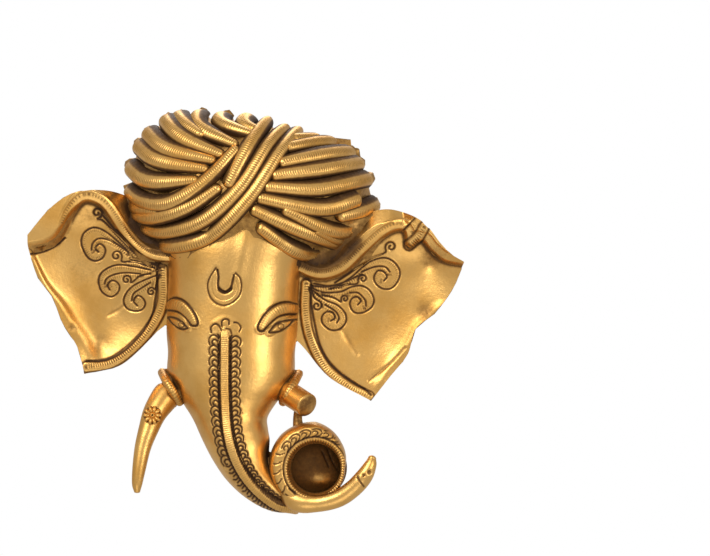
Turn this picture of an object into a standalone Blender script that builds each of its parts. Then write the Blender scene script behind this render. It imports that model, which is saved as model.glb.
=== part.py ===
"""Elephant-headed wall mask, cast in brass in one piece, hollow at the back.

Metres, +Z up. The back rim lies in the wall's plane y = 0 and the face looks along -Y.
The origin is the centre of the nail hole in the hanging lug.
The free form is laid out in squares, 437 of them across the ears: across and down are counted
from the top left corner of the layout, and out is the distance in front of the wall.
"""

import math

import bmesh
import bpy
import numpy as np
from mathutils import Matrix, Vector
from mathutils.bvhtree import BVHTree

# Driving dimensions
MASK_WIDTH = 0.220
HEAD_WALL = 0.0038
EAR_METAL = 0.0030
LUG_WIDTH = 0.018
LUG_METAL = 0.0030
LUG_BELOW_HOLE = 0.0075
NAIL_HOLE = 0.006

# Layout of the free form, in squares
SQUARES_ACROSS = 437
SQUARE = MASK_WIDTH / SQUARES_ACROSS
ORIGIN_ACROSS = 246
ORIGIN_DOWN = 150
BEHIND_WALL = -9

# Fineness of the faceted solid
GRAIN = MASK_WIDTH / 330
FACES_LEFT = 5100
SHARP_ANGLE = 40
SEAM = 1e-6
LINE_STEPS = 12
TUBE_PITCH = 5
HOLE_SIDES = 24
CUTTER_REACH = 3
IN_FRONT = 200

# Turban: outline of the padded body under the folds, and its depth
TURBAN_MIDDLE = (250, 200)
TURBAN_CREST = (250, 121)
TURBAN_OUTLINE = [
    (131, 190), (134, 160), (143, 141), (160, 123), (185, 116), (218, 119), TURBAN_CREST, (285, 131),
    (315, 139), (345, 150), (358, 165), (368, 185), (372, 205), (352, 230), (325, 250), (290, 262),
    (240, 262), (190, 255), (155, 238), (137, 215),
]
TURBAN_DEPTH = 87
WRAP_LIFT = 7
WRAP_DEPTH = TURBAN_DEPTH + WRAP_LIFT
TURBAN_POWER = 2.6
TURBAN_TIP = 0.08
TURBAN_RINGS = 12
TURBAN_SIDES = 48
FOLD_SINK = 4
FOLD_PITCH = 7
LEFT_GIRTH = (7, 8.3, 5.5)
RIGHT_GIRTH = (5.5, 8, 6.5)
SASH_GIRTH = (6, 8.2, 6.5)
LEFT_FOLDS = [
    [(163, 114), (184, 138), (226, 158)],
    [(148, 131), (171, 150), (219, 163)],
    [(138, 143), (162, 161), (212, 171)],
    [(129, 164), (153, 181), (203, 181)],
    [(127, 183), (137, 205), (165, 209)],
    [(204, 107), (201, 128), (240, 149)],
    [(231, 111), (222, 124), (256, 139)],
    [(253, 116), (245, 126), (262, 136)],
    [(176, 110), (186, 124), (206, 139)],
]
RIGHT_FOLDS = [
    [(288, 141), (316, 140)],
    [(283, 150), (320, 143), (351, 143)],
    [(277, 165), (325, 155), (360, 151)],
    [(270, 177), (320, 170), (360, 162)],
    [(263, 187), (315, 189), (370, 177)],
    [(256, 197), (318, 208), (357, 198)],
    [(335, 216), (360, 209), (379, 200)],
    [(282, 208), (336, 230), (374, 213)],
    [(251, 207), (295, 227), (341, 243)],
    [(258, 224), (298, 250), (341, 251)],
]
SASH_LIFT = 3.5
SASHES = [
    [(238, 150), (208, 181), (174, 202), (140, 195)],
    [(222, 187), (192, 208), (157, 215), (138, 211)],
    [(267, 121), (247, 151), (228, 188)],
    [(288, 125), (268, 146), (240, 189), (206, 219), (171, 230), (138, 217)],
    [(295, 132), (277, 156), (250, 197), (214, 233), (182, 244), (150, 236)],
]

# Head and trunk: across, down, half width, front, widest, back, lean in degrees, fullness
HEAD_STATIONS = [
    (250, 200, 84, 72, 25, -60, 0, 2.4),
    (243, 225, 80, 81, 28, -60, 0, 2.4),
    (238, 245, 74, 86, 30, -60, 0, 2.4),
    (235, 268, 67.5, 88, 30, -60, 0, 2.3),
    (233, 300, 65.5, 89, 32, -60, 0, 2.3),
    (232, 330, 65.5, 91, 34, -60, 0, 2.3),
    (231.5, 352, 63.5, 93, 36, -60, 0, 2.3),
    (231, 372, 63.5, 94, 40, -60, 0, 2.3),
    (231, 388, 57, 95, 48, -30, 0, 2.2),
    (230, 402, 47, 96, 55, -5, 0, 2.1),
    (231, 418, 37, 98, 60, 15, 2, 2),
    (236, 434, 33, 101, 66, 26, 10, 2),
    (242, 449, 30, 103, 70, 32, 20, 2),
    (249, 466, 25, 103, 71, 36, 33, 2),
    (261, 481, 21, 101, 71, 38, 50, 2),
    (279, 493, 18, 97, 70, 40, 72, 2),
    (300, 501.5, 9.5, 92, 68, 42, 90, 2),
    (322, 501, 6, 88, 66, 44, 95, 2),
]
HOLLOW_STATIONS = 13
SECTION_SIDES = 40
SECTION_PITCH = 8
HOLLOW_SIDES = 22
HOLLOW_RINGS = 8
HOLLOW_PITCH = 19

# Trunk curl: a cup whose wall swells round the mouth
MOUTH = (316, 467)
MOUTH_RADIUS = 24.5
CURL_OUTER = [29, 36, 46, 48, 47, 43, 36, 30]
CURL_STEPS = 48
CURL_SIDES = 16
CURL_MIDDLE_OUT = 72
CURL_HALF_DEPTH = 33
CURL_FULLNESS = 3
CURL_FLOOR = (311, 466, 52)
CURL_FLOOR_SIZE = (35, 34, 13)
TRUNK_TIP = [
    (284, 486, 88, 9), (298, 499, 96, 10.5), (318, 501, 101, 8.5), (338, 496, 105, 8.8),
    (353, 486, 108, 8.8), (364, 474, 110, 8.4), (370, 463, 110, 6.3), (372, 456, 109, 4),
]

# Tusks, each spot with its radius
WHOLE_TUSK = [
    (179, 384, 45, 15), (165, 398, 60, 14), (156, 412, 69, 12), (150, 428, 76, 10),
    (144.5, 446, 81, 8.2), (141, 466, 85, 6.8), (139, 482, 87, 5.2), (139, 490, 87, 3),
]
BROKEN_TUSK = [(276, 384, 48, 12), (307, 404, 84, 12)]
CURL_LINK = [(302, 400, 66, 6), (298, 416, 62, 4.5), (299, 430, 64, 6)]
COLLARS = [
    [(162, 372, 38, 4.5), (167, 380, 66, 4.5), (174, 391, 74, 4.5), (181, 402, 62, 4.5)],
    [(299, 373, 42, 4.5), (294, 383, 68, 4.5), (288, 393, 76, 4.5), (283, 402, 62, 4.5)],
]
ROSETTE = (154, 414, 82)
ROSETTE_HEART = (3, 3, 3)
PETALS = 10
PETAL_RING = 5.9
PETAL_OUT = -1
PETAL = (3.2, 3.2, 2.6)

# Relief on the face: spots with the half width there, sunk by a share of it
RELIEF_SINK = 0.25
RELIEF_PITCH = 3
BROWS = [
    [(167, 307, 3), (176, 304, 4.5), (186, 308, 5.5), (193, 316, 4.5), (198, 326, 2)],
    [(298, 309, 3), (287, 308, 4.5), (276, 311, 5.5), (267, 318, 4.5), (260, 330, 2)],
]
EYES = [
    [(169, 318, 1), (177, 321, 4), (184, 325, 4.5), (191, 329, 1)],
    [(296, 318, 1), (286, 323, 4.5), (277, 327, 4.5), (268, 332, 1)],
]
CRESCENT = [
    [(217, 268), (209, 280), (208, 293), (214, 302), (225, 306), (236, 302), (243, 290), (242, 279), (236, 269)],
    [(219, 270), (219, 283), (222, 291), (228, 293), (232, 288), (235, 274)],
]
MIDRIB = [
    (226, 330, 3), (226, 345, 4.5), (226, 390, 5), (229, 430, 4.5), (238, 460, 4.5), (254, 484, 4),
    (276, 502, 3.5), (292, 507, 3),
]
WAVE_PITCH = 10.3
WAVES_LEFT_OUT = 3
WAVE_CURL = [(1.7, 3), (3.2, 0.5), (2.6, -3.5)]

# Ears: four sides of each sheet, from the corner at the turban round to the root
LEFT_EAR = {
    "top": [(160, 214), (124, 195), (98, 190), (72, 194), (50, 209), (28, 235)],
    "outer": [(28, 235), (29, 250), (37, 276), (52, 298), (62, 323), (77, 348), (84, 374)],
    "bottom": [(175, 320), (157, 333), (140, 350), (118, 367), (84, 374)],
    "root": [(160, 214), (178, 250), (178, 285), (175, 318)],
    "lie": [
        (170, 262, 40), (168, 300, 32), (165, 325, 28), (130, 300, 23), (100, 300, 18), (80, 300, 20),
        (60, 312, 28), (40, 275, 34), (60, 250, 29), (90, 230, 26), (124, 258, 30), (100, 340, 19),
        (88, 366, 27), (130, 348, 26), (30, 235, 36), (60, 203, 38), (92, 192, 38), (125, 200, 34),
        (73, 335, 24), (150, 215, 30),
    ],
    "bands": [[(165, 266, 4), (163, 300, 4), (155, 322, 4), (136, 346, 4.5), (112, 362, 4.5), (86, 368, 4)]],
    "step": [
        (195, 262), (170, 264), (150, 261), (132, 250), (117, 232), (103, 211), (93, 204), (84, 204),
        (75, 215), (64, 239), (48, 250), (20, 255),
    ],
    "step_rise": 9,
    "brink": [(190, 247), (165, 250), (145, 249), (129, 236), (118, 217), (105, 200), (88, 188), (70, 160)],
    "lips": [[(31, 258, 3), (52, 294, 4), (63, 318, 4), (80, 345, 3.5), (88, 364, 3)]],
}
RIGHT_EAR = {
    "top": [(345, 222), (379, 210), (402, 212), (425, 224), (446, 250), (464, 262)],
    "outer": [(464, 262), (453, 288), (436, 312), (416, 329), (408, 354), (390, 377), (371, 401)],
    "bottom": [(290, 334), (304, 348), (330, 378), (371, 401)],
    "root": [(345, 222), (295, 262), (288, 295), (290, 334)],
    "lie": [
        (300, 275, 40), (300, 310, 32), (303, 335, 28), (335, 320, 24), (370, 310, 20), (385, 340, 22),
        (405, 345, 27), (368, 395, 30), (330, 372, 29), (410, 290, 23), (445, 295, 30), (462, 263, 38),
        (430, 262, 24), (400, 250, 26), (360, 280, 25), (385, 225, 38), (420, 225, 40), (360, 245, 34),
        (415, 328, 27),
    ],
    "bands": [
        [(307, 282, 4), (306, 310, 4), (311, 340, 4.5), (326, 368, 4.5), (350, 388, 4.5), (369, 396, 3.5)],
        [(424, 227, 4.5), (418, 237, 5), (409, 245, 4)],
    ],
    "step": [
        (270, 252), (295, 272), (320, 281), (345, 274), (367, 254), (388, 236), (402, 232), (405, 242),
        (411, 247), (420, 241), (430, 252), (445, 263), (475, 268),
    ],
    "step_rise": -8,
    "brink": [
        (275, 244), (293, 259), (318, 269), (335, 264), (352, 247), (372, 229), (390, 223), (410, 224),
        (440, 180),
    ],
    "lips": [[(408, 344, 3), (392, 362, 4), (374, 384, 3.5)]],
}
EAR_CELLS = 56
SIDE_STEPS = 60
LIE_EASE = 40
STEP_RUN = 3
BRINK_FALL = 1.1
BRINK_WIDTH = 22
BAND_LIFT = 3
SCROLLS = [
    [(133, 258), (122, 246), (110, 235), (100, 229), (92, 228), (84, 233), (81, 241), (83, 250), (88, 258),
     (95, 261), (102, 258), (105, 251), (103, 246), (98, 244)],
    [(150, 270), (135, 267), (120, 265), (110, 267), (101, 273), (98, 281), (100, 290), (105, 295),
     (111, 297), (117, 293), (119, 287), (116, 282), (110, 282)],
    [(158, 275), (145, 280), (133, 286), (126, 293), (123, 301), (126, 308), (133, 311), (141, 310),
     (145, 304), (142, 298), (136, 297)],
    [(340, 285), (352, 277), (362, 268), (372, 261), (385, 258), (395, 263), (400, 272), (398, 281),
     (392, 288), (384, 289), (377, 285), (374, 278), (379, 272), (386, 276)],
    [(320, 293), (340, 292), (352, 287), (362, 286), (370, 291), (374, 300), (371, 308), (362, 313),
     (354, 312), (350, 305), (353, 299), (359, 299)],
    [(312, 290), (325, 300), (337, 305), (345, 313), (346, 322), (340, 329), (331, 330), (323, 324),
     (323, 316), (330, 313)],
]
GROOVE_PITCH = 6
GROOVE_HALF_WIDTH = 1.8
GROOVE_SINK = 0.1


def spot(across, down, out):
    """The layout's spot in metres."""
    return Vector(((across - ORIGIN_ACROSS) * SQUARE, -out * SQUARE, (ORIGIN_DOWN - down) * SQUARE))


def smooth_line(points, count):
    """Even steps along a smooth line through the points, every column carried along."""
    given = np.array(points, float)
    padded = np.vstack([2 * given[0] - given[1], given, 2 * given[-1] - given[-2]])
    step = np.linspace(0, 1, LINE_STEPS, endpoint=False)[:, None]
    parts = []
    for a, b, c, d in zip(padded, padded[1:], padded[2:], padded[3:]):
        cubic = 3 * b - a - 3 * c + d
        square = 2 * a - 5 * b + 4 * c - d
        parts.append(b + 0.5 * ((c - a) * step + square * step**2 + cubic * step**3))
    fine = np.vstack(parts + [given[-1:]])
    run = np.append(0, np.cumsum(np.linalg.norm(np.diff(fine[:, :2], axis=0), axis=1)))
    at = np.linspace(0, run[-1], count)
    return np.column_stack([np.interp(at, run, column) for column in fine.T])


def steps_for(points, pitch):
    """How many steps of about one pitch the line takes."""
    given = np.array(points, float)[:, :2]
    return max(3, int(np.linalg.norm(np.diff(given, axis=0), axis=1).sum() / pitch) + 2)


def new_object(name, mesh):
    shape = bpy.data.objects.new(name, mesh)
    bpy.context.scene.collection.objects.link(shape)
    return shape


def from_bmesh(name, shape):
    mesh = bpy.data.meshes.new(name)
    shape.to_mesh(mesh)
    shape.free()
    return new_object(name, mesh)


def tube(name, spots, sides=4):
    """A round bar along spots of across, down, out and radius."""
    curve = bpy.data.curves.new(name, "CURVE")
    curve.dimensions = "3D"
    curve.bevel_depth = SQUARE
    curve.bevel_resolution = sides
    curve.use_fill_caps = True
    line = curve.splines.new("POLY")
    line.points.add(len(spots) - 1)
    for point, (across, down, out, radius) in zip(line.points, spots):
        point.co = (*spot(across, down, out), 1)
        point.radius = radius
    return new_object(name, curve)


def lofted(name, loops):
    """A closed skin over loops that all have as many points."""
    shape = bmesh.new()
    rings = [[shape.verts.new(point) for point in loop] for loop in loops]
    edges = [[shape.edges.new((ring[i - 1], ring[i])) for i in range(len(ring))] for ring in rings]
    for first, second in zip(edges, edges[1:]):
        bmesh.ops.bridge_loops(shape, edges=first + second)
    bmesh.ops.holes_fill(shape, edges=shape.edges)
    bmesh.ops.recalc_face_normals(shape, faces=shape.faces)
    return from_bmesh(name, shape)


def ellipsoid(name, middle, size):
    shape = bmesh.new()
    bmesh.ops.create_icosphere(shape, subdivisions=4, radius=SQUARE)
    bmesh.ops.scale(shape, vec=(size[0], size[2], size[1]), verts=shape.verts)
    bmesh.ops.translate(shape, vec=spot(*middle), verts=shape.verts)
    return from_bmesh(name, shape)


def reach(across, down):
    """How far from the turban's middle a spot lies, 1 at the outline."""
    edge = np.array(TURBAN_OUTLINE, float) - TURBAN_MIDDLE
    turn = np.arctan2(edge[:, 1], edge[:, 0])
    order = np.argsort(turn)
    size = np.hypot(edge[:, 0], edge[:, 1])[order]
    aside, below = across - TURBAN_MIDDLE[0], down - TURBAN_MIDDLE[1]
    limit = np.interp(np.arctan2(below, aside), turn[order], size, period=2 * math.pi)
    return np.hypot(aside, below) / limit


def wrap_out(across, down):
    """Where the folds of the turban lie in front of the wall."""
    left = np.clip(1 - reach(across, down) ** TURBAN_POWER, 0, 1)
    return WRAP_DEPTH * left ** (1 / TURBAN_POWER)


def head_out(across, down):
    """Where the face lies in front of the wall, and nothing beyond its sides or above it."""
    table = np.array(HEAD_STATIONS[:HOLLOW_STATIONS], float)
    middle, half, front, widest, full = (np.interp(down, table[:, 1], table[:, i]) for i in (0, 2, 3, 4, 7))
    share = np.clip(np.abs(across - middle) / half, 0, 1)
    out = widest + (front - widest) * (1 - share**full) ** (1 / full)
    return np.where((share < 1) & (down > table[0, 1]), out, 0)


def turban_body(name, depth, inset=0, rings=TURBAN_RINGS, sides=TURBAN_SIDES):
    """The padded body: rings of its outline, smaller towards the front."""
    loops = []
    for lift in np.linspace(0, 1, rings):
        slope = math.sin(lift * math.pi / 2)
        size = (1 - slope**TURBAN_POWER) ** (1 / TURBAN_POWER) if lift < 1 else TURBAN_TIP
        outline = smooth_line(TURBAN_OUTLINE + TURBAN_OUTLINE[:1], sides + 1)[:-1]
        away = outline - TURBAN_MIDDLE
        length = np.linalg.norm(away, axis=1, keepdims=True)
        spots = TURBAN_MIDDLE + away * (1 - inset / length) * size
        loops.append([spot(x, z, (depth - inset) * slope) for x, z in spots])
    back = BEHIND_WALL * (CUTTER_REACH if inset else 1)
    loops.insert(0, [Vector((p.x, -back * SQUARE, p.z)) for p in loops[0]])
    return lofted(name, loops)


def turban_folds():
    """The folds, and the sashes that cross over them, as tapered bars on the turban."""
    sets = [(LEFT_FOLDS, LEFT_GIRTH, 0), (RIGHT_FOLDS, RIGHT_GIRTH, 0), (SASHES, SASH_GIRTH, SASH_LIFT)]
    for lines, girth, lift in sets:
        for line in lines:
            flat = smooth_line(line, steps_for(line, FOLD_PITCH))
            run = np.linspace(0, 1, len(flat))
            under = np.maximum(wrap_out(flat[:, 0], flat[:, 1]), head_out(flat[:, 0], flat[:, 1]))
            out = under + lift * np.sin(run * math.pi) ** 0.5 - FOLD_SINK
            tube("fold", np.column_stack([flat, out, np.interp(run, (0, 0.5, 1), girth)]))


def head_section(station, inset, sides):
    """One loop of the head or trunk, square to its run. The hollow runs on through the back."""
    across, down, half, front, widest, rear, lean, fullness = station
    limit = BEHIND_WALL * (CUTTER_REACH if inset else 1)
    if inset:
        rear = limit
    turn = math.radians(lean)
    loop = []
    for angle in np.arange(sides) * 2 * math.pi / sides:
        side = math.copysign(abs(math.cos(angle)) ** (2 / fullness), math.cos(angle)) * (half - inset)
        deep = math.copysign(abs(math.sin(angle)) ** (2 / fullness), math.sin(angle))
        out = widest + deep * ((front - inset - widest) if deep > 0 else (widest - rear))
        loop.append(spot(across + side * math.cos(turn), down - side * math.sin(turn), max(out, limit)))
    return loop


def head(name, stations=HEAD_STATIONS, inset=0, pitch=SECTION_PITCH, sides=SECTION_SIDES):
    """The head and trunk in one skin, drawn smoothly through the stations."""
    run = smooth_line(stations, steps_for(stations, pitch))
    return lofted(name, [head_section(station, inset, sides) for station in run])


def curl():
    """The wall of the cup, one section for each step round the mouth, and its floor."""
    circle = 2 * math.pi
    turns = np.arange(CURL_STEPS) * circle / CURL_STEPS
    outer = np.interp(turns, np.arange(len(CURL_OUTER)) * circle / len(CURL_OUTER), CURL_OUTER, period=circle)
    shape = bmesh.new()
    sections = []
    for turn, far in zip(turns, outer):
        middle, half = (MOUTH_RADIUS + far) / 2, (far - MOUTH_RADIUS) / 2
        ring = []
        for angle in np.arange(CURL_SIDES) * circle / CURL_SIDES:
            away, out = (math.copysign(abs(part) ** (2 / CURL_FULLNESS), part)
                         for part in (math.cos(angle), math.sin(angle)))
            away, out = middle + half * away, CURL_MIDDLE_OUT + CURL_HALF_DEPTH * out
            ring.append(shape.verts.new(
                spot(MOUTH[0] + away * math.cos(turn), MOUTH[1] - away * math.sin(turn), out)))
        sections.append([shape.edges.new((ring[i - 1], ring[i])) for i in range(len(ring))])
    for first, second in zip(sections, sections[1:] + sections[:1]):
        bmesh.ops.bridge_loops(shape, edges=first + second)
    bmesh.ops.recalc_face_normals(shape, faces=shape.faces)
    from_bmesh("curl_wall", shape)
    ellipsoid("curl_floor", CURL_FLOOR, CURL_FLOOR_SIZE)


def line_distance(spots, line):
    """For each spot its distance from the line, and on which side it lies."""
    best = np.full(len(spots), np.inf)
    side = np.ones(len(spots))
    for a, b in zip(line, line[1:]):
        along = b - a
        t = np.clip(((spots - a) @ along) / (along @ along), 0, 1)
        gap = spots - (a + t[:, None] * along)
        far = np.hypot(gap[:, 0], gap[:, 1])
        nearer = far < best
        best[nearer] = far[nearer]
        side[nearer] = np.sign(along[0] * gap[nearer, 1] - along[1] * gap[nearer, 0])
    return best, side


def lie_of(spots, known):
    """A smooth surface through known spots (thin plate)."""
    known = np.array(known, float)

    def kernel(a, b):
        gap = np.linalg.norm(a[:, None] - b[None], axis=2)
        return gap**2 * np.log(gap + 1e-9)

    count = len(known)
    system = np.zeros((count + 3, count + 3))
    system[:count, :count] = kernel(known[:, :2], known[:, :2]) + LIE_EASE * np.eye(count)
    system[:count, count] = system[count, :count] = 1
    system[:count, count + 1:] = known[:, :2]
    system[count + 1:, :count] = known[:, :2].T
    weights = np.linalg.solve(system, np.append(known[:, 2], [0, 0, 0]))
    plane = np.column_stack([np.ones(len(spots)), spots])
    return kernel(spots, known[:, :2]) @ weights[:count] + plane @ weights[count:]


def ear(name, ear_form):
    """A dished sheet between four sides, with a rolled rim and lips."""
    sides = {key: smooth_line(ear_form[key], SIDE_STEPS) for key in ("top", "outer", "bottom", "root")}
    shape = bmesh.new()
    bmesh.ops.create_grid(shape, x_segments=EAR_CELLS, y_segments=EAR_CELLS, size=0.5)
    unit = np.array([(v.co.x + 0.5, v.co.y + 0.5) for v in shape.verts])
    u, v = unit[:, :1], unit[:, 1:]

    def at(key, share):
        table = sides[key]
        steps = np.linspace(0, 1, len(table))
        return np.column_stack([np.interp(share[:, 0], steps, column) for column in table.T])

    corners = [sides["top"][0], sides["top"][-1], sides["bottom"][0], sides["bottom"][-1]]
    flat = (1 - v) * at("top", u) + v * at("bottom", u) + (1 - u) * at("root", v) + u * at("outer", v)
    flat -= (1 - u) * (1 - v) * corners[0] + u * (1 - v) * corners[1]
    flat -= (1 - u) * v * corners[2] + u * v * corners[3]
    out = lie_of(flat, ear_form["lie"])
    hand = math.copysign(1, ear_form["step_rise"])
    gap, side = line_distance(flat, smooth_line(ear_form["step"], SIDE_STEPS))
    out += np.where(side * hand > 0, abs(ear_form["step_rise"]) * np.clip(gap / STEP_RUN, 0, 1), 0)
    gap, side = line_distance(flat, smooth_line(ear_form["brink"], SIDE_STEPS))
    out -= np.where(side * hand > 0, BRINK_FALL * np.clip(gap - 1, 0, BRINK_WIDTH), 0)
    for vert, (across, down), far in zip(shape.verts, flat, out):
        vert.co = spot(across, down, far)
    sheet = from_bmesh(name, shape)
    wall = sheet.modifiers.new("metal", "SOLIDIFY")
    wall.thickness = EAR_METAL
    wall.offset = 0
    for number, line in enumerate(ear_form["bands"] + ear_form["lips"]):
        run = smooth_line(line, steps_for(line, TUBE_PITCH))
        rest = lie_of(run[:, :2], ear_form["lie"])
        tube(f"{name}_band_{number}", np.column_stack([run[:, :2], rest + BAND_LIFT, run[:, 2]]))


def on_surface(tree, run, sink):
    """Spots laid on a surface seen from the front, sunk by a share of their half width."""
    spots = []
    for across, down, half in run:
        start = spot(across, down, IN_FRONT)
        hit = tree.ray_cast(start, Vector((0, 1, 0)))[0]
        if hit is not None:
            spots.append((across, down, -hit.y / SQUARE - sink * half, half))
    return spots


def tree_of(shape):
    return BVHTree.FromObject(shape, bpy.context.evaluated_depsgraph_get())


def face_relief(head_shape):
    """Brows, eyes and the rib down the middle of the trunk."""
    tree = tree_of(head_shape)
    for number, line in enumerate(BROWS + EYES + [MIDRIB]):
        run = smooth_line(line, steps_for(line, RELIEF_PITCH))
        tube(f"relief_{number}", on_surface(tree, run, RELIEF_SINK))


def rosette():
    across, down, out = ROSETTE
    ellipsoid("rosette_heart", ROSETTE, ROSETTE_HEART)
    for turn in np.arange(PETALS) * 2 * math.pi / PETALS:
        beside = (across + PETAL_RING * math.cos(turn), down + PETAL_RING * math.sin(turn), out + PETAL_OUT)
        ellipsoid("petal", beside, PETAL)


def joined(name, shapes):
    """One mesh of the shapes as they stand; the shapes themselves go."""
    graph = bpy.context.evaluated_depsgraph_get()
    whole = bmesh.new()
    for shape in shapes:
        evaluated = shape.evaluated_get(graph)
        mesh = evaluated.to_mesh()
        whole.from_mesh(mesh)
        evaluated.to_mesh_clear()
    for shape in shapes:
        bpy.data.objects.remove(shape)
    bmesh.ops.remove_doubles(whole, verts=whole.verts, dist=SEAM)
    return from_bmesh(name, whole)


def settled(shape):
    """The object with its modifiers applied."""
    graph = bpy.context.evaluated_depsgraph_get()
    mesh = bpy.data.meshes.new_from_object(shape.evaluated_get(graph))
    shape.modifiers.clear()
    shape.data = mesh
    return shape


def boolean(shape, other, operation):
    step = shape.modifiers.new(other.name, "BOOLEAN")
    step.object = other
    step.operation = operation
    settled(shape)
    bpy.data.objects.remove(other)
    return shape


def block(name, low, high):
    shape = bmesh.new()
    bmesh.ops.create_cube(shape, size=1)
    bmesh.ops.scale(shape, vec=[b - a for a, b in zip(low, high)], verts=shape.verts)
    bmesh.ops.translate(shape, vec=[(a + b) / 2 for a, b in zip(low, high)], verts=shape.verts)
    return from_bmesh(name, shape)


def cast_skin():
    """Every outer form, fused to one skin and thinned to the facets it needs."""
    turban_body("turban", TURBAN_DEPTH)
    turban_folds()
    head_shape = head("head")
    bpy.context.view_layer.update()
    face_relief(head_shape)
    curl()
    for number, line in enumerate([TRUNK_TIP, WHOLE_TUSK, CURL_LINK] + COLLARS):
        tube(f"limb_{number}", smooth_line(line, steps_for(line, TUBE_PITCH)))
    tube("broken_tusk", BROKEN_TUSK)
    rosette()
    ear("left_ear", LEFT_EAR)
    ear("right_ear", RIGHT_EAR)
    bpy.context.view_layer.update()
    skin = joined("ganesha_mask", list(bpy.context.scene.objects))
    remesh = skin.modifiers.new("fuse", "REMESH")
    remesh.mode = "VOXEL"
    remesh.voxel_size = GRAIN
    ease = skin.modifiers.new("ease", "SMOOTH")
    ease.factor = 0.5
    ease.iterations = 2
    settled(skin)
    thin = skin.modifiers.new("thin", "DECIMATE")
    thin.ratio = min(1, FACES_LEFT / (2 * len(skin.data.polygons)))
    return settled(skin)


def hollow(skin):
    """The inside, one wall's thickness behind the turban, the head and the root of the trunk."""
    inset = HEAD_WALL / SQUARE
    turban_hollow = turban_body("turban_hollow", TURBAN_DEPTH, inset, HOLLOW_RINGS, 2 * HOLLOW_SIDES)
    head_hollow = head("head_hollow", HEAD_STATIONS[:HOLLOW_STATIONS], inset, HOLLOW_PITCH, HOLLOW_SIDES)
    boolean(skin, turban_hollow, "DIFFERENCE")
    boolean(skin, head_hollow, "DIFFERENCE")


def hanging_lug(skin):
    """A flat lug down from the turban's back rim, with the nail hole at the origin."""
    top = spot(*TURBAN_CREST, 0).z - HEAD_WALL / 2
    half = LUG_WIDTH / 2
    lug = block("lug", (-half, -LUG_METAL, -LUG_BELOW_HOLE), (half, LUG_METAL, top))
    boolean(skin, lug, "UNION")
    hole = bmesh.new()
    bmesh.ops.create_cone(hole, segments=HOLE_SIDES, radius1=NAIL_HOLE / 2, radius2=NAIL_HOLE / 2,
                          depth=2 * CUTTER_REACH * LUG_METAL, cap_ends=True,
                          matrix=Matrix.Rotation(math.pi / 2, 4, "X"))
    boolean(skin, from_bmesh("nail_hole", hole), "DIFFERENCE")


def waves(hand):
    """The curled strokes down one side of the rib, each from beside the rib, out and back up."""
    run = smooth_line(MIDRIB, steps_for(MIDRIB, WAVE_PITCH))[1:-WAVES_LEFT_OUT]
    heading = np.gradient(run[:, :2], axis=0)
    heading /= np.linalg.norm(heading, axis=1, keepdims=True)
    for middle, half, (right, below) in zip(run[:, :2], run[:, 2], heading):
        stroke = []
        for aside, on in WAVE_CURL:
            aside *= half * hand
            stroke.append((middle[0] + below * aside + right * on, middle[1] - right * aside + below * on))
        yield stroke


def engraving(skin):
    """Grooves: the scrolls on both ears, the mark on the forehead and the waves beside the rib."""
    tree = tree_of(skin)
    lines = [smooth_line(line, steps_for(line, GROOVE_PITCH)) for line in SCROLLS + CRESCENT]
    for line in lines + list(waves(-1)) + list(waves(1)):
        run = on_surface(tree, [(across, down, GROOVE_HALF_WIDTH) for across, down in line], GROOVE_SINK)
        groove = tube("groove", run, sides=0)
        bpy.context.view_layer.update()
        boolean(skin, joined("groove_cutter", [groove]), "DIFFERENCE")


def brass():
    metal = bpy.data.materials.new("antique_brass")
    metal.use_nodes = True
    shader = metal.node_tree.nodes["Principled BSDF"]
    shader.inputs["Base Color"].default_value = (0.66, 0.39, 0.13, 1)
    shader.inputs["Metallic"].default_value = 1
    shader.inputs["Roughness"].default_value = 0.35
    return metal


for old in list(bpy.data.objects):
    bpy.data.objects.remove(old)
mask = cast_skin()
hollow(mask)
hanging_lug(mask)
engraving(mask)
boolean(mask, block("wall_space", (-MASK_WIDTH, 0, -MASK_WIDTH), (MASK_WIDTH, MASK_WIDTH, MASK_WIDTH)),
        "DIFFERENCE")
mask.data.materials.clear()
mask.data.materials.append(brass())
mask.data.shade_smooth()
mask.data.set_sharp_from_angle(angle=math.radians(SHARP_ANGLE))
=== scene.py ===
"""Elephant-headed wall mask: one antique brass casting, chased and patinated, dressed over its solid."""

import math
from contextlib import contextmanager

import bmesh
import bpy
import numpy as np
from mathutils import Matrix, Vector
from mathutils.bvhtree import BVHTree


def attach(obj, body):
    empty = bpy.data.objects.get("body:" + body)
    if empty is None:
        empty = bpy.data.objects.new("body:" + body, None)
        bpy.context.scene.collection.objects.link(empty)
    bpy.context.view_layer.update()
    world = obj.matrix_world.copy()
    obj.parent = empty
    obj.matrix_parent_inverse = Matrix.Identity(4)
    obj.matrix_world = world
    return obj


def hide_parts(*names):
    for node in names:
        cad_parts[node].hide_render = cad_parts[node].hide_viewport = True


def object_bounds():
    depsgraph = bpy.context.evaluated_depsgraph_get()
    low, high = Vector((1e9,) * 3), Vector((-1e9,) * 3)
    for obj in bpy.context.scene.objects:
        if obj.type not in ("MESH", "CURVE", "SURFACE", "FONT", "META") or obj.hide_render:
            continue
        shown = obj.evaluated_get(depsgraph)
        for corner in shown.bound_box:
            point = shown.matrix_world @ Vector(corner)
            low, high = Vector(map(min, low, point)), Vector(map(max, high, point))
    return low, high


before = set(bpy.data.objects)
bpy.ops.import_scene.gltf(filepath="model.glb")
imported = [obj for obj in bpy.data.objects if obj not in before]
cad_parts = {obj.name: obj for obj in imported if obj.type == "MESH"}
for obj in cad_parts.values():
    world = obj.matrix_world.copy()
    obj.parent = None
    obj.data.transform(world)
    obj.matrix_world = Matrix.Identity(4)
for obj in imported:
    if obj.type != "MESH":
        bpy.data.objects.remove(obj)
cad_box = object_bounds()

# The casting
# One pour of brass, 3 to 4 mm thick and open at the back, with a lug for the nail.
# Its front is eased back here, and the chased surfaces lie over it where the metal's true face is.

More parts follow.
